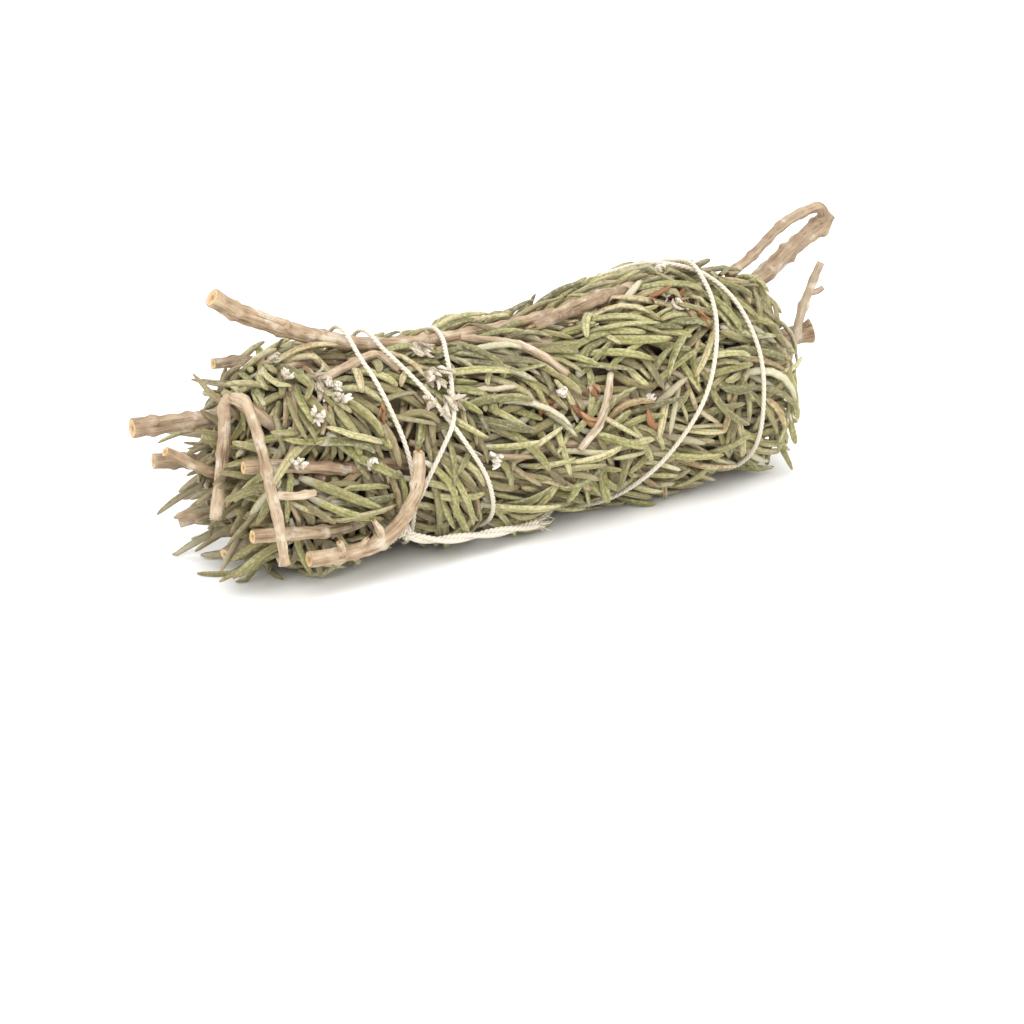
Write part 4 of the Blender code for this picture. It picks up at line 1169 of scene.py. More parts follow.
    @staticmethod
    def lying_twigs() -> list[Twig]:
        """The bare twigs among the outer needles: along the top, hooked low down, and two short."""
        top = Run(
            [(-59, 2, 53.6, 1.75), (-55.5, 2, 50.9, 1.65), (-52, 2, 48.9, 1.8), (-42.4, 2, 44.2, 1.6),
             (-32.4, 1.8, 40.6, 1.45), (-22, 1.5, 38.8, 1.3), (-8, 1, 38.5, 1.2), (2, 0.8, 38.9, 1.05),
             (10, 0.6, 39.8, 0.95)],
            EndFace.CUT, EndFace.TORN,
        )
        hooked = Run(
            [(-52, -19.2, 10, 1.55), (-45, -19, 9.4, 1.5), (-39, -19.1, 10, 1.45),
             (-34.8, -20.2, 13.2, 1.4), (-31.8, -21, 18.2, 1.3), (-30.8, -20.9, 22.4, 1.25),
             (-30.4, -20.2, 26.4, 1.1)],
            EndFace.CUT, EndFace.TORN,
        )
        ridge = Run([(2, -5.4, 39.9, 0.9), (9, -4.2, 41.1, 1.35), (18, -3, 42.4, 1.5),
                     (24, -2.4, 42.6, 0.9)], EndFace.TORN, EndFace.TORN)
        drooping = Run([(12.5, -15.7, 32.1, 0.7), (10.2, -18.2, 28, 0.75), (7.6, -19.5, 24, 0.8),
                        (3.5, -19.8, 20, 0.65)], EndFace.TORN, EndFace.CUT)
        return [
            Twig("top_twig_bark", [top], "top_twig", tone=0.42, grey=0.12),
            Twig("hooked_twig_bark", [hooked], "hooked_twig", tone=0.5, grey=0.1, joint_gap=6.5,
                 joint_swell=0.12),
            Twig("ridge_twig_bark", [ridge], "ridge_twig", tone=0.3, grey=0.2, joint_gap=6.0,
                 joint_swell=0.14),
            Twig("drooping_twig_bark", [drooping], "drooping_twig", tone=0.6, grey=0.3, joint_gap=4.0),
        ]

    @staticmethod
    def small_twigs() -> list[Twig]:
        """Side twigs and buds that are too small to be in the CAD."""
        elbow = Run([(-43, -6.3, 37.6, 0.75), (-36, -4, 38.6, 0.85), (-29.8, -1.8, 39, 0.8),
                     (-28.2, -3.6, 38.4, 0.7), (-27.2, -7.4, 37.2, 0.6)], EndFace.TORN, EndFace.TORN)
        crossing = Run([(-12, -2.6, 39.4, 0.7), (-4, -7.5, 38.4, 0.8), (0.4, -11, 36.3, 0.8),
                        (3.8, -14.8, 33.2, 0.7)], EndFace.TORN, EndFace.TORN)
        spur = Run([(-58.3, -18, 23.2, 0.75), (-54, -18.6, 22.4, 0.75), (-50, -18.2, 22, 0.65)],
                   EndFace.HIDDEN, EndFace.TORN)
        buds = [
            Run([(-45.6, -19.4, 10, 0.75), (-46, -20.3, 11.6, 0.65), (-46.8, -20.8, 12.9, 0.45)],
                EndFace.HIDDEN, EndFace.TORN),
            Run([(-42, -19.3, 10, 0.75), (-41.6, -20.4, 11.5, 0.6), (-41.3, -20.9, 12.4, 0.4)],
                EndFace.HIDDEN, EndFace.TORN),
            Run([(-37.6, -19.6, 11, 0.8), (-38.6, -20.4, 13.4, 0.65), (-39.8, -20.7, 15.4, 0.4)],
                EndFace.HIDDEN, EndFace.TORN),
        ]
        return [
            Twig("elbow_twig_bark", [elbow], tone=0.55, grey=0.1, joint_gap=5.0),
            Twig("crossing_twig_bark", [crossing], tone=0.5, grey=0.3, joint_gap=5.0),
            Twig("folded_twig_spur_bark", [spur], tone=0.62, grey=0.1, joint_gap=4.0),
            Twig("hooked_twig_buds_bark", buds, tone=0.62, joint_gap=3.0),
        ]

    def lines(self, *nodes: str) -> list[np.ndarray]:
        """Lines with radii of every run of the named twigs, or of all of them."""
        chosen = [twig for twig in self.twigs if not nodes or twig.stands_for in nodes]
        return [run.line() for twig in chosen for run in twig.runs]

    def build(self) -> list[bpy.types.Object]:
        """Builds all the twigs."""
        return [twig.build(self.finish) for twig in self.twigs]


# ---- leaves ----


class Crowding:
    """Which small cells of space are taken, so that needles lie beside and over each other."""

    CELL = 0.45

    def __init__(self) -> None:
        """Covers the whole bundle, empty."""
        self.low = np.array([-84.0, -32.0, -2.0])
        size = np.array([172.0, 64.0, 62.0])
        self.taken = np.zeros((size / self.CELL).astype(int) + 1, bool)

    def cells(self, points: np.ndarray) -> tuple[np.ndarray, ...]:
        """Indexes of the cells that hold the points."""
        found = ((points - self.low) / self.CELL).astype(int)
        return tuple(np.clip(found, 0, np.array(self.taken.shape) - 1).reshape(-1, 3).T)

    def fill(self, points: np.ndarray) -> None:
        """Takes the cells that hold the points."""
        self.taken[self.cells(points)] = True

    def share(self, points: np.ndarray) -> float:
        """Share of the points that lie in taken cells."""
        return float(self.taken[self.cells(points)].mean())

    def fill_tube(self, line: np.ndarray, margin: float) -> None:
        """Takes the cells in a tube.

        Args:
            line: Rows of (x, y, z, radius).
            margin: Room left round it.
        """
        grid = np.arange(-3.2, 3.21, self.CELL)
        block = np.stack(np.meshgrid(grid, grid, grid, indexing="ij"), axis=-1).reshape(-1, 3)
        away = np.linalg.norm(block, axis=1)
        for row in line:
            self.fill(row[:3] + block[away < row[3] + margin])


@dataclass
class Cover:
    """Something that lies on the needles: its line, its radius and how steeply they rise beside it."""

    line: np.ndarray
    radius: float
    slope: float = 0.75


class Lid:
    """How high needles may stand at each place: what lies over them holds them down."""

    ALONG_STEP = 1.0
    TURN_STEP = 3.0

    def __init__(self, covers: Sequence[Cover]) -> None:
        """Works out the height everywhere.

        Args:
            covers: What lies on the needles.
        """
        self.alongs = np.arange(-80.0, 80.1, self.ALONG_STEP)
        self.turns = np.arange(-180.0, 180.0, self.TURN_STEP)
        spots, rounds = np.meshgrid(self.alongs, self.turns, indexing="ij")
        self.height = np.full(spots.shape, 60.0)
        for cover in covers:
            along, turn, reach = polar(cover.line)
            for a, t, r in zip(along, turn, reach):
                near = np.abs(self.alongs - a) < 8
                arc = np.radians((rounds[near] - t + 180) % 360 - 180) * r
                away = np.hypot(spots[near] - a, arc)
                top = r - cover.radius - 0.1 + cover.slope * np.maximum(0, away - cover.radius - 0.2)
                self.height[near] = np.where(away < 9, np.minimum(self.height[near], top), self.height[near])

    def at(self, along: np.ndarray, turn: np.ndarray) -> np.ndarray:
        """How far from the axis needles may reach.

        Args:
            along: Distances along the axis.
            turn: Degrees round it.

        Returns:
            The greatest reach at each place.
        """
        a = np.clip((along - self.alongs[0]) / self.ALONG_STEP, 0, len(self.alongs) - 1.001)
        t = ((turn + 180) % 360) / self.TURN_STEP
        a0, t0 = a.astype(int), t.astype(int) % len(self.turns)
        t1 = (t0 + 1) % len(self.turns)
        fa, ft = a - a0, t - np.floor(t)
        low = self.height[a0, t0] * (1 - ft) + self.height[a0, t1] * ft
        high = self.height[a0 + 1, t0] * (1 - ft) + self.height[a0 + 1, t1] * ft
        return low * (1 - fa) + high * fa


def leaf_heading(along: float, turn: float) -> float:
    """Degrees from the axis that sprays lie at: they sweep down the front, steeply at the tip end.

    Args:
        along: Distance along the axis.
        turn: Degrees round it.

    Returns:
        The heading.
    """
    height = math.sin(math.radians(turn))
    near_cut_end = math.exp(-(((along + 36) / 32) ** 2))
    near_tip_end = 1 / (1 + math.exp(-(along - 42) / 4))
    return -40 - 22 * height - 12 * near_cut_end * (height + 0.3) - 22 * near_tip_end


@dataclass
class NeedleMake:
    """Size and shape that every needle is cut to, as shares of its length and half width."""

    stations: tuple[float, ...] = (0.0, 0.06, 0.2, 0.4, 0.6, 0.8, 0.93, 0.985)
    widths: tuple[float, ...] = (0.5, 0.74, 0.94, 1.0, 0.98, 0.86, 0.6, 0.26)
    across: tuple[float, ...] = (1.0, 0.76, 0.24, 0.0, -0.24, -0.76, -1.0, -0.5, 0.5)
    above: tuple[float, ...] = (0.0, 0.55, 0.76, 0.62, 0.76, 0.55, 0.0, -0.5, -0.5)
    painted: tuple[float, ...] = (0.5, 0.38, 0.16, 0.0, 0.16, 0.38, 0.5, 0.85, 0.85)


@dataclass
class Needle:
    """One needle: its line, the way it faces, its size and its painted facts."""

    line: np.ndarray
    outward: np.ndarray
    half_width: float
    roll: float
    twist: float
    tone: float
    # how old and how deep: lays on the litter colour, partly old leaves, partly painted shade
    age: float


@dataclass
class LeafMass:
    """All the needles of the bundle, as sprays that lie along it and tufts at its ends."""

    leaf: bpy.types.Material
    bark: bpy.types.Material
    room: Crowding
    lid: Lid
    make: NeedleMake = field(default_factory=NeedleMake)
    sprays: int = 900
    spray_legs: int = 11
    joint_gap: float = 4.2       # between the joints of a spray, each with a whorl of needles
    under_stems: int = 16
    length: tuple[float, float] = (8.8, 15.4)
    longer: float = 1.18         # the needles are longer by this towards the cut end
    longer_from: float = -14.0
    half_width: tuple[float, float] = (0.6, 0.92)
    hooked: float = 0.2          # share of the needles that have curled as they dried
    dead: float = 0.1            # share that have turned straw-coloured or brown
    turned: float = 0.05         # share that show their felted underside
    proud: float = 0.16          # share that stand out of the surface
    curl: float = 22.0           # how far they roll about their middle, in degrees
    twisting: float = 30.0
    lowest: float = 0.55         # no needle's middle lies nearer the ground
    half_room: float = 21.2      # or further to the front or back
    ends: tuple[float, float] = (-65.0, 60.5)  # or further along
    twig_lowest: float = 0.9     # no spray's twig lies nearer the ground
    clearance: float = 0.02      # between the ground and the lowest needle's skin
    needle_reach: float = 19.5   # distance from the axis at which a needle's turn is worked out
    twig_reach: float = 18.0
    core_stations: int = 60
    core_sides: int = 28
    tries: int = 7               # heights that a needle tries before it is left out
    end_needles: int = 420       # needles tried at each end
    needles: dict[str, list[Needle]] = field(default_factory=dict)
    twiglets: list[tuple[np.ndarray, float]] = field(default_factory=list)
    tufts: list[tuple[np.ndarray, np.ndarray]] = field(default_factory=list)

    def __post_init__(self) -> None:
        """Prepares the random draw."""
        self.draw = np.random.default_rng(SEED)
        self.shares = np.array(self.make.stations)
        self.spray_tone = 0.4

    def owner(self, along: float, turn: float) -> str:
        """Name of the CAD leaves that stand at that place."""
        index = round((turn - float(sprig_turn(0, along))) * OUTER_SPRIGS / 360) % OUTER_SPRIGS
        return f"sprig_{index + 1}_leaves"

    def lay(self, along: float, turn: float, start: float, end: float, length: float, low: float,
            rise: float, proud: float = 0.0) -> tuple[np.ndarray, np.ndarray]:
        """The line of a needle that lies over the bundle's surface.

        Args:
            along: Its root's place along the axis.
            turn: Its root's place round it.
            start: Heading at its root, in degrees from the axis.
            end: Heading at its tip.
            length: Its length.
            low: Its root's height over the core.
            rise: How much higher its tip lies.
            proud: How far its tip may stand out of the surface.

        Returns:
            Its points and the outward directions there.
        """
        share = self.shares
        heading = math.radians(0.35 * start + 0.65 * end)
        a = along + np.array([0.0, length * math.cos(heading)])
        t = turn + np.array([0.0, math.degrees(length * math.sin(heading) / self.needle_reach)])
        reach = core_surface(a, t) + np.array([low, low + rise])
        reach = np.minimum(reach, surface(a, t) + 0.1 + proud) - end_fall(a)
        root, tip = place(a, t, reach)
        outward = unit((root + tip) / 2 - place(a.mean(), 0, 0))
        aside = np.cross(outward, unit(tip - root))
        bow = math.radians(start - end) * 0.17 * length + self.draw.normal(0, 0.05) * length
        # the height of an arc of the round bundle over its chord, more or less
        arch = length ** 2 / (8 * 20) * self.draw.uniform(0.4, 1.6)
        points = root + (tip - root) * share[:, None]
        points = points + (4 * share * (1 - share))[:, None] * (outward * arch - aside * bow)
        a, t, reach = polar(points)
        ceiling = self.lid.at(a, t) - 0.5
        reach = reach - max(0.0, float((reach - ceiling).max()) - 1.6)
        points = raised(place(a, t, np.minimum(reach, ceiling)), self.lowest)
        return points, unit(points - place(a, 0.0, 0.0))

    def body_points(self, points: np.ndarray, outward: np.ndarray, width: float) -> np.ndarray:
        """Fills a needle's body with points, to test and take its room.

        Args:
            points: Its line.
            outward: Outward directions along it.
            width: Half its width.

        Returns:
            The points, in rows.
        """
        dense = np.linspace(0.1, 0.98, 34)
        line = np.column_stack([np.interp(dense, self.shares, points[:, k]) for k in range(3)])
        facing = np.column_stack([np.interp(dense, self.shares, outward[:, k]) for k in range(3)])
        side, up = frames_along(line, facing)
        return np.concatenate([line + side * width * s + up * h
                               for s in (-0.75, -0.3, 0.3, 0.75) for h in (-0.2, 0.25)])

    def plant(self, name: str, points: np.ndarray, outward: np.ndarray, age: float,
              tolerance: float) -> bool:
        """Adds a needle if its room is free.

        Args:
            name: The CAD leaves that it belongs to.
            points: Its line.
            outward: Outward directions along it.
            age: From 0, outer and green, to 1, inner and brown; the brown is in part old leaves and in part
                painted shade of depth.
            tolerance: Share of its body that may lie in taken room.

        Returns:
            Whether it was added.
        """
        width = self.draw.uniform(*self.half_width)
        body = self.body_points(points, outward, width)
        if self.room.share(body) > tolerance:
            return False
        self.room.fill(body)
        tone = float(np.clip(self.spray_tone + self.draw.normal(0, 0.13), 0.02, 1))
        if self.draw.random() < self.dead:
            tone = self.draw.uniform(0.75, 1.0)
        roll = self.draw.normal(0, self.curl)
        if self.draw.random() < self.turned:
            roll += 180
        twist = self.draw.normal(0, self.twisting)
        self.needles.setdefault(name, []).append(
            Needle(points, outward, width, math.radians(roll), math.radians(twist), tone, age)
        )
        return True

    def grow_spray(self, depth: float) -> None:
        """Adds one spray: a thin twig with pairs of needles and a tuft at its tip.

        Args:
            depth: From 0, over the core, to 1, near the outside.
        """
        draw = self.draw
        along, turn = draw.uniform(-58, 54), draw.uniform(-180, 180)
        self.spray_tone = float(np.clip(draw.normal(0.42, 0.15), 0.08, 0.8))
        heading = leaf_heading(along, turn) + draw.normal(0, 24)
        # towards the tip end some sprays cross the others, and everywhere some point back
        if along > 5 and draw.random() < 0.25:
            heading = draw.normal(24, 22)
        if draw.random() < (0.3 if along < -38 else 0.08):
            heading += 180
        length = draw.uniform(8, 22)
        low = 0.2 + 2.8 * depth * draw.uniform(0.4, 1.0)
        bend = draw.normal(0, 14)
        name = self.owner(along, turn)
        share = np.linspace(0, 1, self.spray_legs + 1)
        lean = np.radians(heading + bend * share)
        step = length / self.spray_legs
        twig_along = along + np.cumsum(step * np.cos(lean))
        twig_turn = turn + np.degrees(np.cumsum(step * np.sin(lean)) / self.twig_reach)
        if abs(twig_along[-1]) > 57:
            return
        reach = core_surface(twig_along, twig_turn) + low + 1.2 * share
        reach = np.minimum(reach, self.lid.at(twig_along, twig_turn) - 1.0) - end_fall(twig_along)
        twig = raised(place(twig_along, twig_turn, reach), self.twig_lowest)
        thick = 0.62 - 0.22 * share
        planted = 0
        joints = max(3, int(length / self.joint_gap))
        for k in range(joints):
            at = (k + 0.5) / joints * self.spray_legs
            here = int(at)
            part, there = at - here, min(here + 1, self.spray_legs)
            spot = twig_along[here] * (1 - part) + twig_along[there] * part
            bearing = twig_turn[here] * (1 - part) + twig_turn[there] * part
            ahead = math.degrees(lean[here])
            for side in (-1, 1):
                open_angle = draw.uniform(5, 30)
                for _ in range(int(draw.integers(2, 4))):
                    start = ahead + side * (open_angle + draw.normal(6, 7))
                    end = start - side * draw.uniform(-4, 16)
                    nudge = draw.normal(0, 0.7, 2)
                    root = (spot + nudge[0], bearing + 3 * nudge[1])
                    planted += self.try_needle(name, *root, start, end, low, depth)
        for _ in range(int(draw.integers(4, 8))):
            start = math.degrees(lean[-1]) + draw.normal(0, 20)
            end = start + draw.normal(0, 10)
            planted += self.try_needle(name, twig_along[-1], twig_turn[-1], start, end, low + 0.6, depth)
        if planted > 4:
            self.twiglets.append((np.column_stack([twig, thick]), 0.5))
            if depth > 0.45:
                self.tufts.append((twig[-1], unit(twig[-1] - twig[-3])))

    def try_needle(self, name: str, along: float, turn: float, start: float, end: float,
                   low: float, depth: float) -> int:
        """Lays a needle, higher each time, until it finds room.

        Args:
            name: The CAD leaves that it belongs to.
            along: Its root's place along the axis.
            turn: Its root's place round it.
            start: Heading at its root.
            end: Heading at its tip.
            low: Its root's height over the core.
            depth: From 0, over the core, to 1, near the outside.

        Returns:
            1 if it was added, else 0.
        """
        length = self.draw.uniform(*self.length) * self.draw.choice((1.0, 1.0, 0.75))
        length *= self.longer if along < self.longer_from else 1.0
        rise = self.draw.uniform(0.0, 2.0)
        if self.draw.random() < self.hooked:
            end += self.draw.choice((-1, 1)) * self.draw.uniform(25, 75)
        proud = self.draw.uniform(0.6, 3.2) if self.draw.random() < self.proud else 0.0
        for _ in range(self.tries):
            points, outward = self.lay(along, turn, start, end, length, low, rise, proud)
            spots = points[:, 0] - AXIS[0]
            inside = np.abs(points[:, 1]).max() < self.half_room
            inside = inside and self.ends[0] < spots.min() and spots.max() < self.ends[1]
            inside = inside and path_length(points) < 1.25 * length
            # needles deep over the core get more of the litter colour: older leaves in part, painted shade
            # of depth in part
            if inside and self.plant(name, points, outward, max(0.0, 0.75 - 1.5 * depth), 0.1):
                return 1
            rise += 0.7
            end += self.draw.normal(0, 7)
        return 0

    def grow_end(self, end: int) -> None:
        """Adds needles that stand out of one end of the bundle.

        Args:
            end: -1 for the cut end, 1 for the tip end.
        """
        draw = self.draw
        share = self.shares[:, None]
        for _ in range(self.end_needles):
            self.spray_tone = float(np.clip(draw.normal(0.34, 0.14), 0.05, 0.8))
            turn = draw.uniform(-180, 180)
            reach = 17.0 * math.sqrt(draw.uniform(0.0, 1.0))
            flare = draw.normal(0.12, 0.3)
            drift = draw.normal(0, 0.4)
            length = draw.uniform(*self.length) * (0.82 if end > 0 else 1.0)
            base = 49.0 if reach > 8 else 51.0
            radial = unit(place(0.0, turn, 1.0) - place(0.0, turn, 0.0))
            tangent = np.cross(radial, np.array([1.0, 0.0, 0.0]))
            root = place(end * (base + draw.uniform(-1, 3)), turn, reach)
            first = unit(np.array([end, 0.0, 0.0]) + radial * flare + tangent * drift)
            sag = np.array([0.0, 0.0, -1.0]) * draw.uniform(0.0, 0.4 if end < 0 else 0.9)
            curl = radial * draw.normal(0, 0.25) + tangent * draw.normal(0, 0.25)
            points = root + first * length * share + (sag + curl) * length * share ** 2
            points = raised(points, self.lowest)
            spots = points[:, 0] - AXIS[0]
            if spots.min() < self.ends[0] - 4 or spots.max() > self.ends[1] or polar(points)[2].max() > 22.0:
                continue
            outward = np.broadcast_to(unit(radial + np.array([0.0, -0.2, 0.6])), points.shape)
            name = self.owner(end * 50, turn) if reach > CORE_INNER else "heart_leaves"
            # needles in the heart and at the cut end get more of the litter colour: old leaves in part,
            # painted shade in part
            self.plant(name, points, outward, 0.35 * (reach < 10) + 0.3 * (end < 0), 0.12)

    def grow_under_stem(self) -> None:
        """Lays one older stem on the cores, which shows only where the needles part."""
        draw = self.draw
        share = np.linspace(0, 1, 30)
        along = draw.uniform(-56, 18) + draw.uniform(22, 40) * share
        turn = draw.uniform(-40, 115) + draw.normal(0, 12) * share
        turn = turn + 4 * np.sin(6 * share + draw.uniform(0, 6))
        reach = core_surface(along, turn) + draw.uniform(0.6, 2.4)
        reach = np.minimum(reach, self.lid.at(along, turn) - 1.6) - end_fall(along)
        line = np.column_stack([place(along, turn, reach), np.full(len(share), draw.uniform(0.8, 1.35))])
        self.room.fill_tube(line, 0.0)
        self.twiglets.append((line, draw.uniform(0.15, 0.6)))

    def needle_rings(self, needles: list[Needle]) -> tuple[np.ndarray, np.ndarray, np.ndarray]:
        """Shapes needles.

        Args:
            needles: The needles.

        Returns:
            Points, facts and grain, shaped for MeshStock.add_tubes.
        """
        lines = np.array([needle.line for needle in needles])
        outward = np.array([needle.outward for needle in needles])
        roll, twist, width, tone, age = (
            np.array([getattr(needle, name) for needle in needles])[:, None]
            for name in ("roll", "twist", "half_width", "tone", "age")
        )
        side, up = frames_along(lines, outward)
        angle = (roll + twist * self.shares)[..., None]
        side, up = side * np.cos(angle) + up * np.sin(angle), up * np.cos(angle) - side * np.sin(angle)
        half = width * np.array(self.make.widths)
        across, above = np.array(self.make.across), np.array(self.make.above)
        rings = (lines[:, :, None]
                 + side[:, :, None] * (half[..., None] * across)[..., None]
                 + up[:, :, None] * (half[..., None] * above)[..., None])
        rings = raised(rings, self.clearance)
        tone, down = tone[..., None], self.shares[:, None]
        facts = paint(rings, tone, down, self.make.painted, age[..., None])
        lengths = np.array([path_length(needle.line) for needle in needles])[:, None, None]
        shift = 370.0 * tone    # so that no two have the same pebbles
        half = half[..., None]
        grain = paint(rings, lengths * down + shift, half * across, half * above + shift, 1)
        return rings, facts, grain

    def core_rings(self, index: int | None) -> tuple[np.ndarray, np.ndarray]:
        """The matted core of old leaves that a sprig's needles stand in, painted dark in part as shade.

        Args:
            index: Which outer sprig, or None for the heart.

        Returns:
            Points and facts of one tube.
        """
        start = HEART_START if index is None else CORE_STARTS[index]
        rings = []
        around = bearings(self.core_sides)
        for along in np.linspace(start, CORE_END, self.core_stations):
            inside = min(along - start, CORE_END - along)
            fill = math.sqrt(1 - 0.6 * (1 - min(inside / 7, 1)) ** 2)
            if index is None:
                ring = place(along, np.degrees(around), HEART_RADIUS * fill)
            else:
                turn = sprig_turn(index, along)
                outer = float(core_surface(along, turn)) - 0.5
                middle, deep = (CORE_INNER + outer) / 2, (outer - CORE_INNER) / 2
                square = np.maximum(np.abs(np.cos(around)), np.abs(np.sin(around))) ** 0.75
                reach = middle + deep * fill * np.sin(around) / square
                half = 360 / OUTER_SPRIGS / 2 - 1.2
                ring = place(along, turn + half * fill * np.cos(around) / square, reach)
            rings.append(ring)
        rings = np.array(rings)
        middle = rings.mean(axis=1, keepdims=True)
        bumps = lumpy(rings, 0.55)
        rings = raised(rings + unit(rings - middle) * (0.7 * bumps - 0.3)[..., None], GROUND)
        # the last fact, 1, lays the litter colour on the cores: old leaves in part, painted shade seen
        # between the needles in part
        return rings, paint(rings, 0.3 + 0.3 * bumps, 0.5, 0.3, 1)

    def build(self) -> list[bpy.types.Object]:
        """Grows and builds every leafy piece.

        Returns:
            The pieces.
        """
        for _ in range(self.under_stems):
            self.grow_under_stem()
        for k in range(self.sprays):
            self.grow_spray((k / self.sprays) ** 0.8)
        self.grow_end(-1)
        self.grow_end(1)
        pieces = []
        for index in (*range(OUTER_SPRIGS), None):
            node = "heart_leaves" if index is None else f"sprig_{index + 1}_leaves"
            stock = MeshStock()
            stock.add_tube(*self.core_rings(index), 0.0)
            if node in self.needles:
                stock.add_tubes(*self.needle_rings(self.needles[node]))
            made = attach(stock.build(node.replace("leaves", "needles"), self.leaf), "root")
            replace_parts(made, node)
            pieces.append(made)
            count = len(self.needles.get(node, []))
            LOG.info("%s: %d needles, %d triangles", made.name, count, stock.triangles())
        return [*pieces, self.build_twiglets()]

    def build_twiglets(self) -> bpy.types.Object:
        """Builds the thin twigs of the sprays and the older stems under them.

        Returns:
            One piece with all of them.
        """
        stock = MeshStock()
        for twig, tone in self.twiglets:
            line = smooth_path(twig, 18)
            side, up = frames_along(line[:, :3], np.broadcast_to(np.array([0.1, -0.4, 0.8]), (18, 3)))
            rings = raised(line[:, None, :3] + circles(side, up, 8) * line[:, 3][:, None, None], GROUND)
            stock.add_tube(rings, paint(rings, tone, 0, 1), self.draw.uniform(0, 90))
        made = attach(stock.build("spray_twigs", self.bark), "root")
        LOG.info("spray_twigs: %d twigs, %d triangles", len(self.twiglets), stock.triangles())
        return made


# ---- trimmings ----


@dataclass(frozen=True)
class Bristle:
    """How one kind of short tube is made, with its least and greatest length and radius."""

    length: tuple[float, float]
    thick: tuple[float, float]
    profile: tuple[float, ...]  # radius along it, as shares of the greatest
    splay: float                # how far a bunch of them spreads, against their length
    flat: float = 1.0           # thickness against width
    bunches: int = 1            # how many bunches there are at a place
    each: int = 1               # and how many of them in each


SHOOT = Bristle(length=(1.0, 2.6), thick=(0.22, 0.36), profile=(0.6, 1.0, 0.95, 0.7, 0.25), splay=0.35)
BUD = Bristle(length=(0.8, 1.8), thick=(0.3, 0.46), profile=(0.7, 1.0, 0.95, 0.8, 0.35), splay=0.5,
              bunches=4, each=4)
FLOWER_CUP = Bristle(length=(2.2, 3.8), thick=(0.38, 0.6), profile=(0.3, 0.7, 1.0, 0.95, 0.7, 0.15),
                     splay=0.22, flat=0.55, bunches=6, each=3)
FLAKE = Bristle(length=(3.0, 6.5), thick=(0.5, 1.0), profile=(0.1, 0.7, 1.0, 0.6, 0.85, 0.35, 0.08),
                splay=0.14, flat=0.16, bunches=2, each=2)


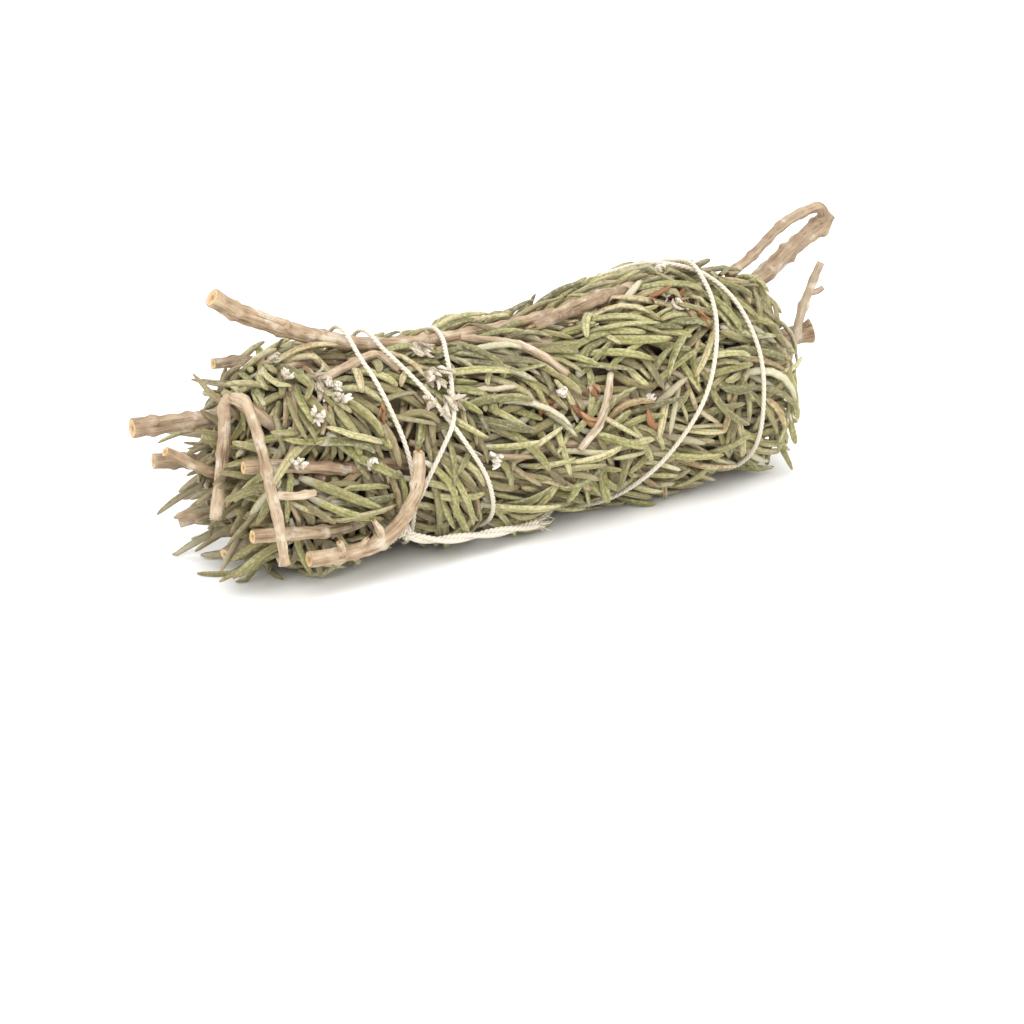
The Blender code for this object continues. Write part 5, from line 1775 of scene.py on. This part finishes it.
@dataclass
class Trimmings:
    """What is caught among the needles: woolly shoots, dried flowers and flakes of bark."""

    felt: bpy.types.Material
    inner_bark: bpy.types.Material
    flowers: tuple[Spot, ...] = (
        (-21.9, -5.2, 40.1), (-22.7, -11.3, 37.6), (-22.1, -15, 34.2), (-44, -9, 38.6), (30, -10.5, 42.2),
    )
    flakes: tuple[Spot, ...] = (
        (-11.1, -15.2, 33.0), (-3.3, -17.2, 30.5), (3.3, -18.6, 27.4), (25.4, -9.1, 43.0),
        (32.7, -9.7, 42.8), (33.7, -13.7, 40.4), (9.2, -7.6, 39.6), (-35, -15.5, 33.4),
        (17, -19.4, 25.2), (6, -17.8, 31.2),
    )
    buds: tuple[Spot, ...] = (
        (-49.1, -6.6, 39.6), (-47.2, -14.7, 34.6), (-38.8, -18.8, 26.2), (-41.8, -13.1, 36.1),
        (-41.6, -10.1, 38), (0.5, -17.7, 30.8), (-13.9, -19.8, 21.7), (-52.5, -17.2, 27.8),
        (32.6, -0.6, 45),
    )
    room: Spot = (-76.0, -21.2, 0.85)    # tips stay this side of it

    def __post_init__(self) -> None:
        """Prepares the random draw."""
        self.draw = np.random.default_rng(SEED + 1)

    def covers(self) -> list[Cover]:
        """What the needles leave free."""
        spots = [layout(*spot)[None] for spot in self.flowers + self.flakes + self.buds]
        return [Cover(spot, 0.9, 2.5) for spot in spots]

    def bunch(self, stock: MeshStock, kind: Bristle, root: np.ndarray, aim: np.ndarray, count: int,
              tone: float) -> None:
        """Adds a bunch of short tubes that spread from one place.

        Args:
            stock: Where the mesh is gathered.
            kind: How each of them is made.
            root: Where they start.
            aim: The way that their middle points.
            count: How many.
            tone: Their mean tone.
        """
        draw = self.draw
        ways = unit(aim + draw.normal(0, kind.splay, (count, 3)))
        roots = root + draw.normal(0, 0.18, (count, 3))
        tips = roots + ways * draw.uniform(*kind.length, (count, 1))
        tips = np.maximum(tips, self.room)
        radii = draw.uniform(*kind.thick, count)
        rings = bristle_rings(roots, tips, radii, kind.profile, draw, kind.flat)
        tones = np.clip(draw.normal(tone, 0.12, count), 0, 1)[:, None, None]
        # from root to tip, which on a flake is how far it shows the raw inner side
        facts = paint(rings, tones, np.linspace(0, 1, rings.shape[1])[:, None])
        stock.add_tubes(rings, facts, np.stack([tube_grain(ring, 3.0 * k) for k, ring in enumerate(rings)]))

    def grow_shoots(self, stock: MeshStock, tufts: list[tuple[np.ndarray, np.ndarray]]) -> None:
        """Adds woolly shoots at some of the sprays' tips, and buds between the needles.

        Args:
            stock: Where the mesh is gathered.
            tufts: Where the sprays end and the way that they point.
        """
        draw = self.draw
        for root, aim in tufts:
            outward = unit(from_axis(root))
            if draw.random() < 0.6:
                self.bunch(stock, SHOOT, root + 0.5 * outward, aim + 0.4 * outward,
                           int(draw.integers(6, 12)), draw.uniform(0.45, 0.95))
        for root in (layout(*spot) for spot in self.buds):
            outward = unit(from_axis(root))
            for _ in range(BUD.bunches):
                aim = 0.5 * outward + draw.normal(0, 0.5, 3)
                self.bunch(stock, BUD, root + draw.normal(0, 0.4, 3), aim, BUD.each, 0.6)

    def add_flowers(self, stock: MeshStock) -> None:
        """Adds the dried cups of the flowers, which hang in bunches.

        Args:
            stock: Where the mesh is gathered.
        """
        draw = self.draw
        for root in (layout(*spot) for spot in self.flowers):
            outward = unit(from_axis(root))
            for _ in range(FLOWER_CUP.bunches):
                aim = outward * 0.35 + np.array([0.2, -0.2, -0.7]) + draw.normal(0, 0.25, 3)
                start = root + draw.normal(0, 0.9, 3) - 0.7 * outward
                self.bunch(stock, FLOWER_CUP, start, aim, FLOWER_CUP.each, 0.42)

    def add_flakes(self, stock: MeshStock) -> None:
        """Adds the flakes of bark, which lie the way that the needles do.

        Args:
            stock: Where the mesh is gathered.
        """
        draw = self.draw
        for root in (layout(*spot) for spot in self.flakes):
            for _ in range(FLAKE.bunches):
                turned = math.radians(leaf_heading(float(root[0]), 40.0) + draw.normal(0, 25))
                aim = np.array([math.cos(turned), -0.35 * math.sin(turned), math.sin(turned)])
                start = root + draw.normal(0, 0.7, 3)
                self.bunch(stock, FLAKE, start, aim, FLAKE.each, draw.uniform(0.1, 0.7))

    def build(self, tufts: list[tuple[np.ndarray, np.ndarray]]) -> list[bpy.types.Object]:
        """Builds the trimmings.

        Args:
            tufts: Where the sprays end and the way that they point, for the woolly shoots.

        Returns:
            The pieces.
        """
        shoots, cups, chips = MeshStock(), MeshStock(), MeshStock()
        self.grow_shoots(shoots, tufts)
        self.add_flowers(cups)
        self.add_flakes(chips)
        made = [
            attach(shoots.build("woolly_shoots", self.felt), "root"),
            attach(cups.build("dried_flower_cups", self.felt), "root"),
            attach(chips.build("bark_flakes", self.inner_bark), "root"),
        ]
        for piece, stock in zip(made, (shoots, cups, chips)):
            LOG.info("%s: %d triangles", piece.name, stock.triangles())
        return made


# ---- studio ----


@dataclass
class Studio:
    """Floor, light and camera."""

    azimuth: float = -30.0
    elevation: float = 21.0
    distance: float = 480.0
    lens: float = 88.6
    sensor: float = 36.0
    aside: float = -0.0008       # tangent of how far right of the bundle the camera aims
    below: float = 0.0365        # and how far below it
    table_reach: float = 2.5     # metres, as are the lamps' places and sizes
    lamps: tuple[tuple[str, Spot, float, float], ...] = (
        ("key_box", (-0.45, -0.55, 0.95), 0.9, 11.5),
        ("fill_box", (0.9, -0.5, 0.45), 0.9, 5.0),
        ("back_box", (0.1, 0.9, 0.8), 0.8, 6.0),
    )
    lit_spot: Spot = (0.0, 0.0, 0.02)
    surround: float = 0.97

    def build(self) -> None:
        """Builds the studio."""
        self.build_floor()
        self.build_lamps()
        self.build_surround()
        self.build_camera()

    def build_floor(self) -> None:
        """A wide pale table top."""
        mesh = bpy.data.meshes.new("table_top")
        reach = self.table_reach
        corners = [(-reach, -reach, 0), (reach, -reach, 0), (reach, reach, 0), (-reach, reach, 0)]
        mesh.from_pydata(corners, [], [(0, 1, 2, 3)])
        floor = bpy.data.objects.new("table_top", mesh)
        bpy.context.scene.collection.objects.link(floor)
        laminate = bpy.data.materials.new("matt_white_laminate")
        laminate.use_nodes = True
        shader = laminate.node_tree.nodes["Principled BSDF"]
        shader.inputs["Base Color"].default_value = linear("#f4f4f3")
        shader.inputs["Roughness"].default_value = 0.9
        mesh.materials.append(laminate)

    def build_lamps(self) -> None:
        """A large soft box overhead in front, a fill at the right and one at the back."""
        for name, spot, size, power in self.lamps:
            light = bpy.data.lights.new(name, "AREA")
            light.size = size
            light.energy = power
            lamp = bpy.data.objects.new(name, light)
            lamp.location = spot
            towards = Vector(self.lit_spot) - Vector(spot)
            lamp.rotation_euler = towards.to_track_quat("-Z", "Y").to_euler()
            bpy.context.scene.collection.objects.link(lamp)

    def build_surround(self) -> None:
        """A pale surround that lights the bundle from all sides."""
        world = bpy.data.worlds.new("pale_surround")
        bpy.context.scene.world = world
        world.use_nodes = True
        back = world.node_tree.nodes["Background"]
        back.inputs["Color"].default_value = (1.0, 1.0, 1.0, 1.0)
        back.inputs["Strength"].default_value = self.surround
        bpy.context.scene.view_settings.view_transform = "Standard"

    def build_camera(self) -> None:
        """The camera, aimed a little below the bundle."""
        a, e = math.radians(self.azimuth), math.radians(self.elevation)
        back = Vector((math.sin(a) * math.cos(e), -math.cos(a) * math.cos(e), math.sin(e)))
        middle = Vector(AXIS) * MM
        seat = middle + back * self.distance * MM
        right = Vector((0, 0, 1)).cross(back).normalized()
        up = back.cross(right)
        aim = -back - right * self.aside - up * self.below
        data = bpy.data.cameras.new("camera")
        data.sensor_width = self.sensor
        data.lens = self.lens
        data.clip_start, data.clip_end = 0.01, 20.0
        camera = bpy.data.objects.new("camera", data)
        camera.location = seat
        camera.rotation_euler = aim.to_track_quat("-Z", "Y").to_euler()
        bpy.context.scene.collection.objects.link(camera)
        bpy.context.scene.camera = camera


def held_down(winding: StringWinding, twigs: TwigSet, trimmings: Trimmings) -> list[Cover]:
    """Gathers what lies on the needles, so that they stay below it.

    Args:
        winding: The string.
        twigs: The twigs, of which only the parts that lie on the needles count.
        trimmings: The flowers, flakes and buds.

    Returns:
        The covers.
    """
    covers = [Cover(winding.path, winding.radius), *trimmings.covers()]
    covers += [Cover(line[:, :3], float(line[:, 3].mean())) for line in twigs.lines("hooked_twig")]
    for line in twigs.lines("top_twig", "ridge_twig", "drooping_twig", "sprig_1_stem", "sprig_8_stem",
                            "sprig_2_stem", NOT_IN_CAD):
        near_cut_end = line[:, 0] < -28
        on_top = (line[:, 2] > 39.5) & (line[:, 0] < 16)
        thin = line[:, 3] < 0.85
        outside = polar(line[:, :3])[2] > 14.8
        seen = line[outside & (near_cut_end | on_top | thin)]
        if len(seen):
            covers.append(Cover(seen[:, :3], float(seen[:, 3].mean()), 2.5))
    return covers


def main() -> None:
    """Builds the studio and dresses the bundle."""
    logging.basicConfig(level=logging.INFO, format="%(message)s")
    Studio().build()
    leaf, bark, cotton, felt = (look.make() for look in (DriedLeaf(), Bark(), CottonString(), WoollyFelt()))
    inner = Bark("split_inner_bark", ("#5a3d2c", "#80573e", "#9b7050", "#b48e6c", "#c9b094")).make()
    twigs = TwigSet(bark)
    winding = StringWinding(cotton)
    winding.lay_route(twigs.lines("top_twig"))
    winding.build()
    twigs.build()
    room = Crowding()
    string_line = np.column_stack([winding.path, np.full(len(winding.path), winding.radius)])
    room.fill_tube(string_line, ROOM_AROUND_STRING)
    for line in twigs.lines():
        room.fill_tube(line, ROOM_AROUND_TWIGS)
    trimmings = Trimmings(felt, inner)
    leaves = LeafMass(leaf, bark, room, Lid(held_down(winding, twigs, trimmings)))
    leaves.build()
    trimmings.build(leaves.tufts)


if __name__ == "__main__":
    main()
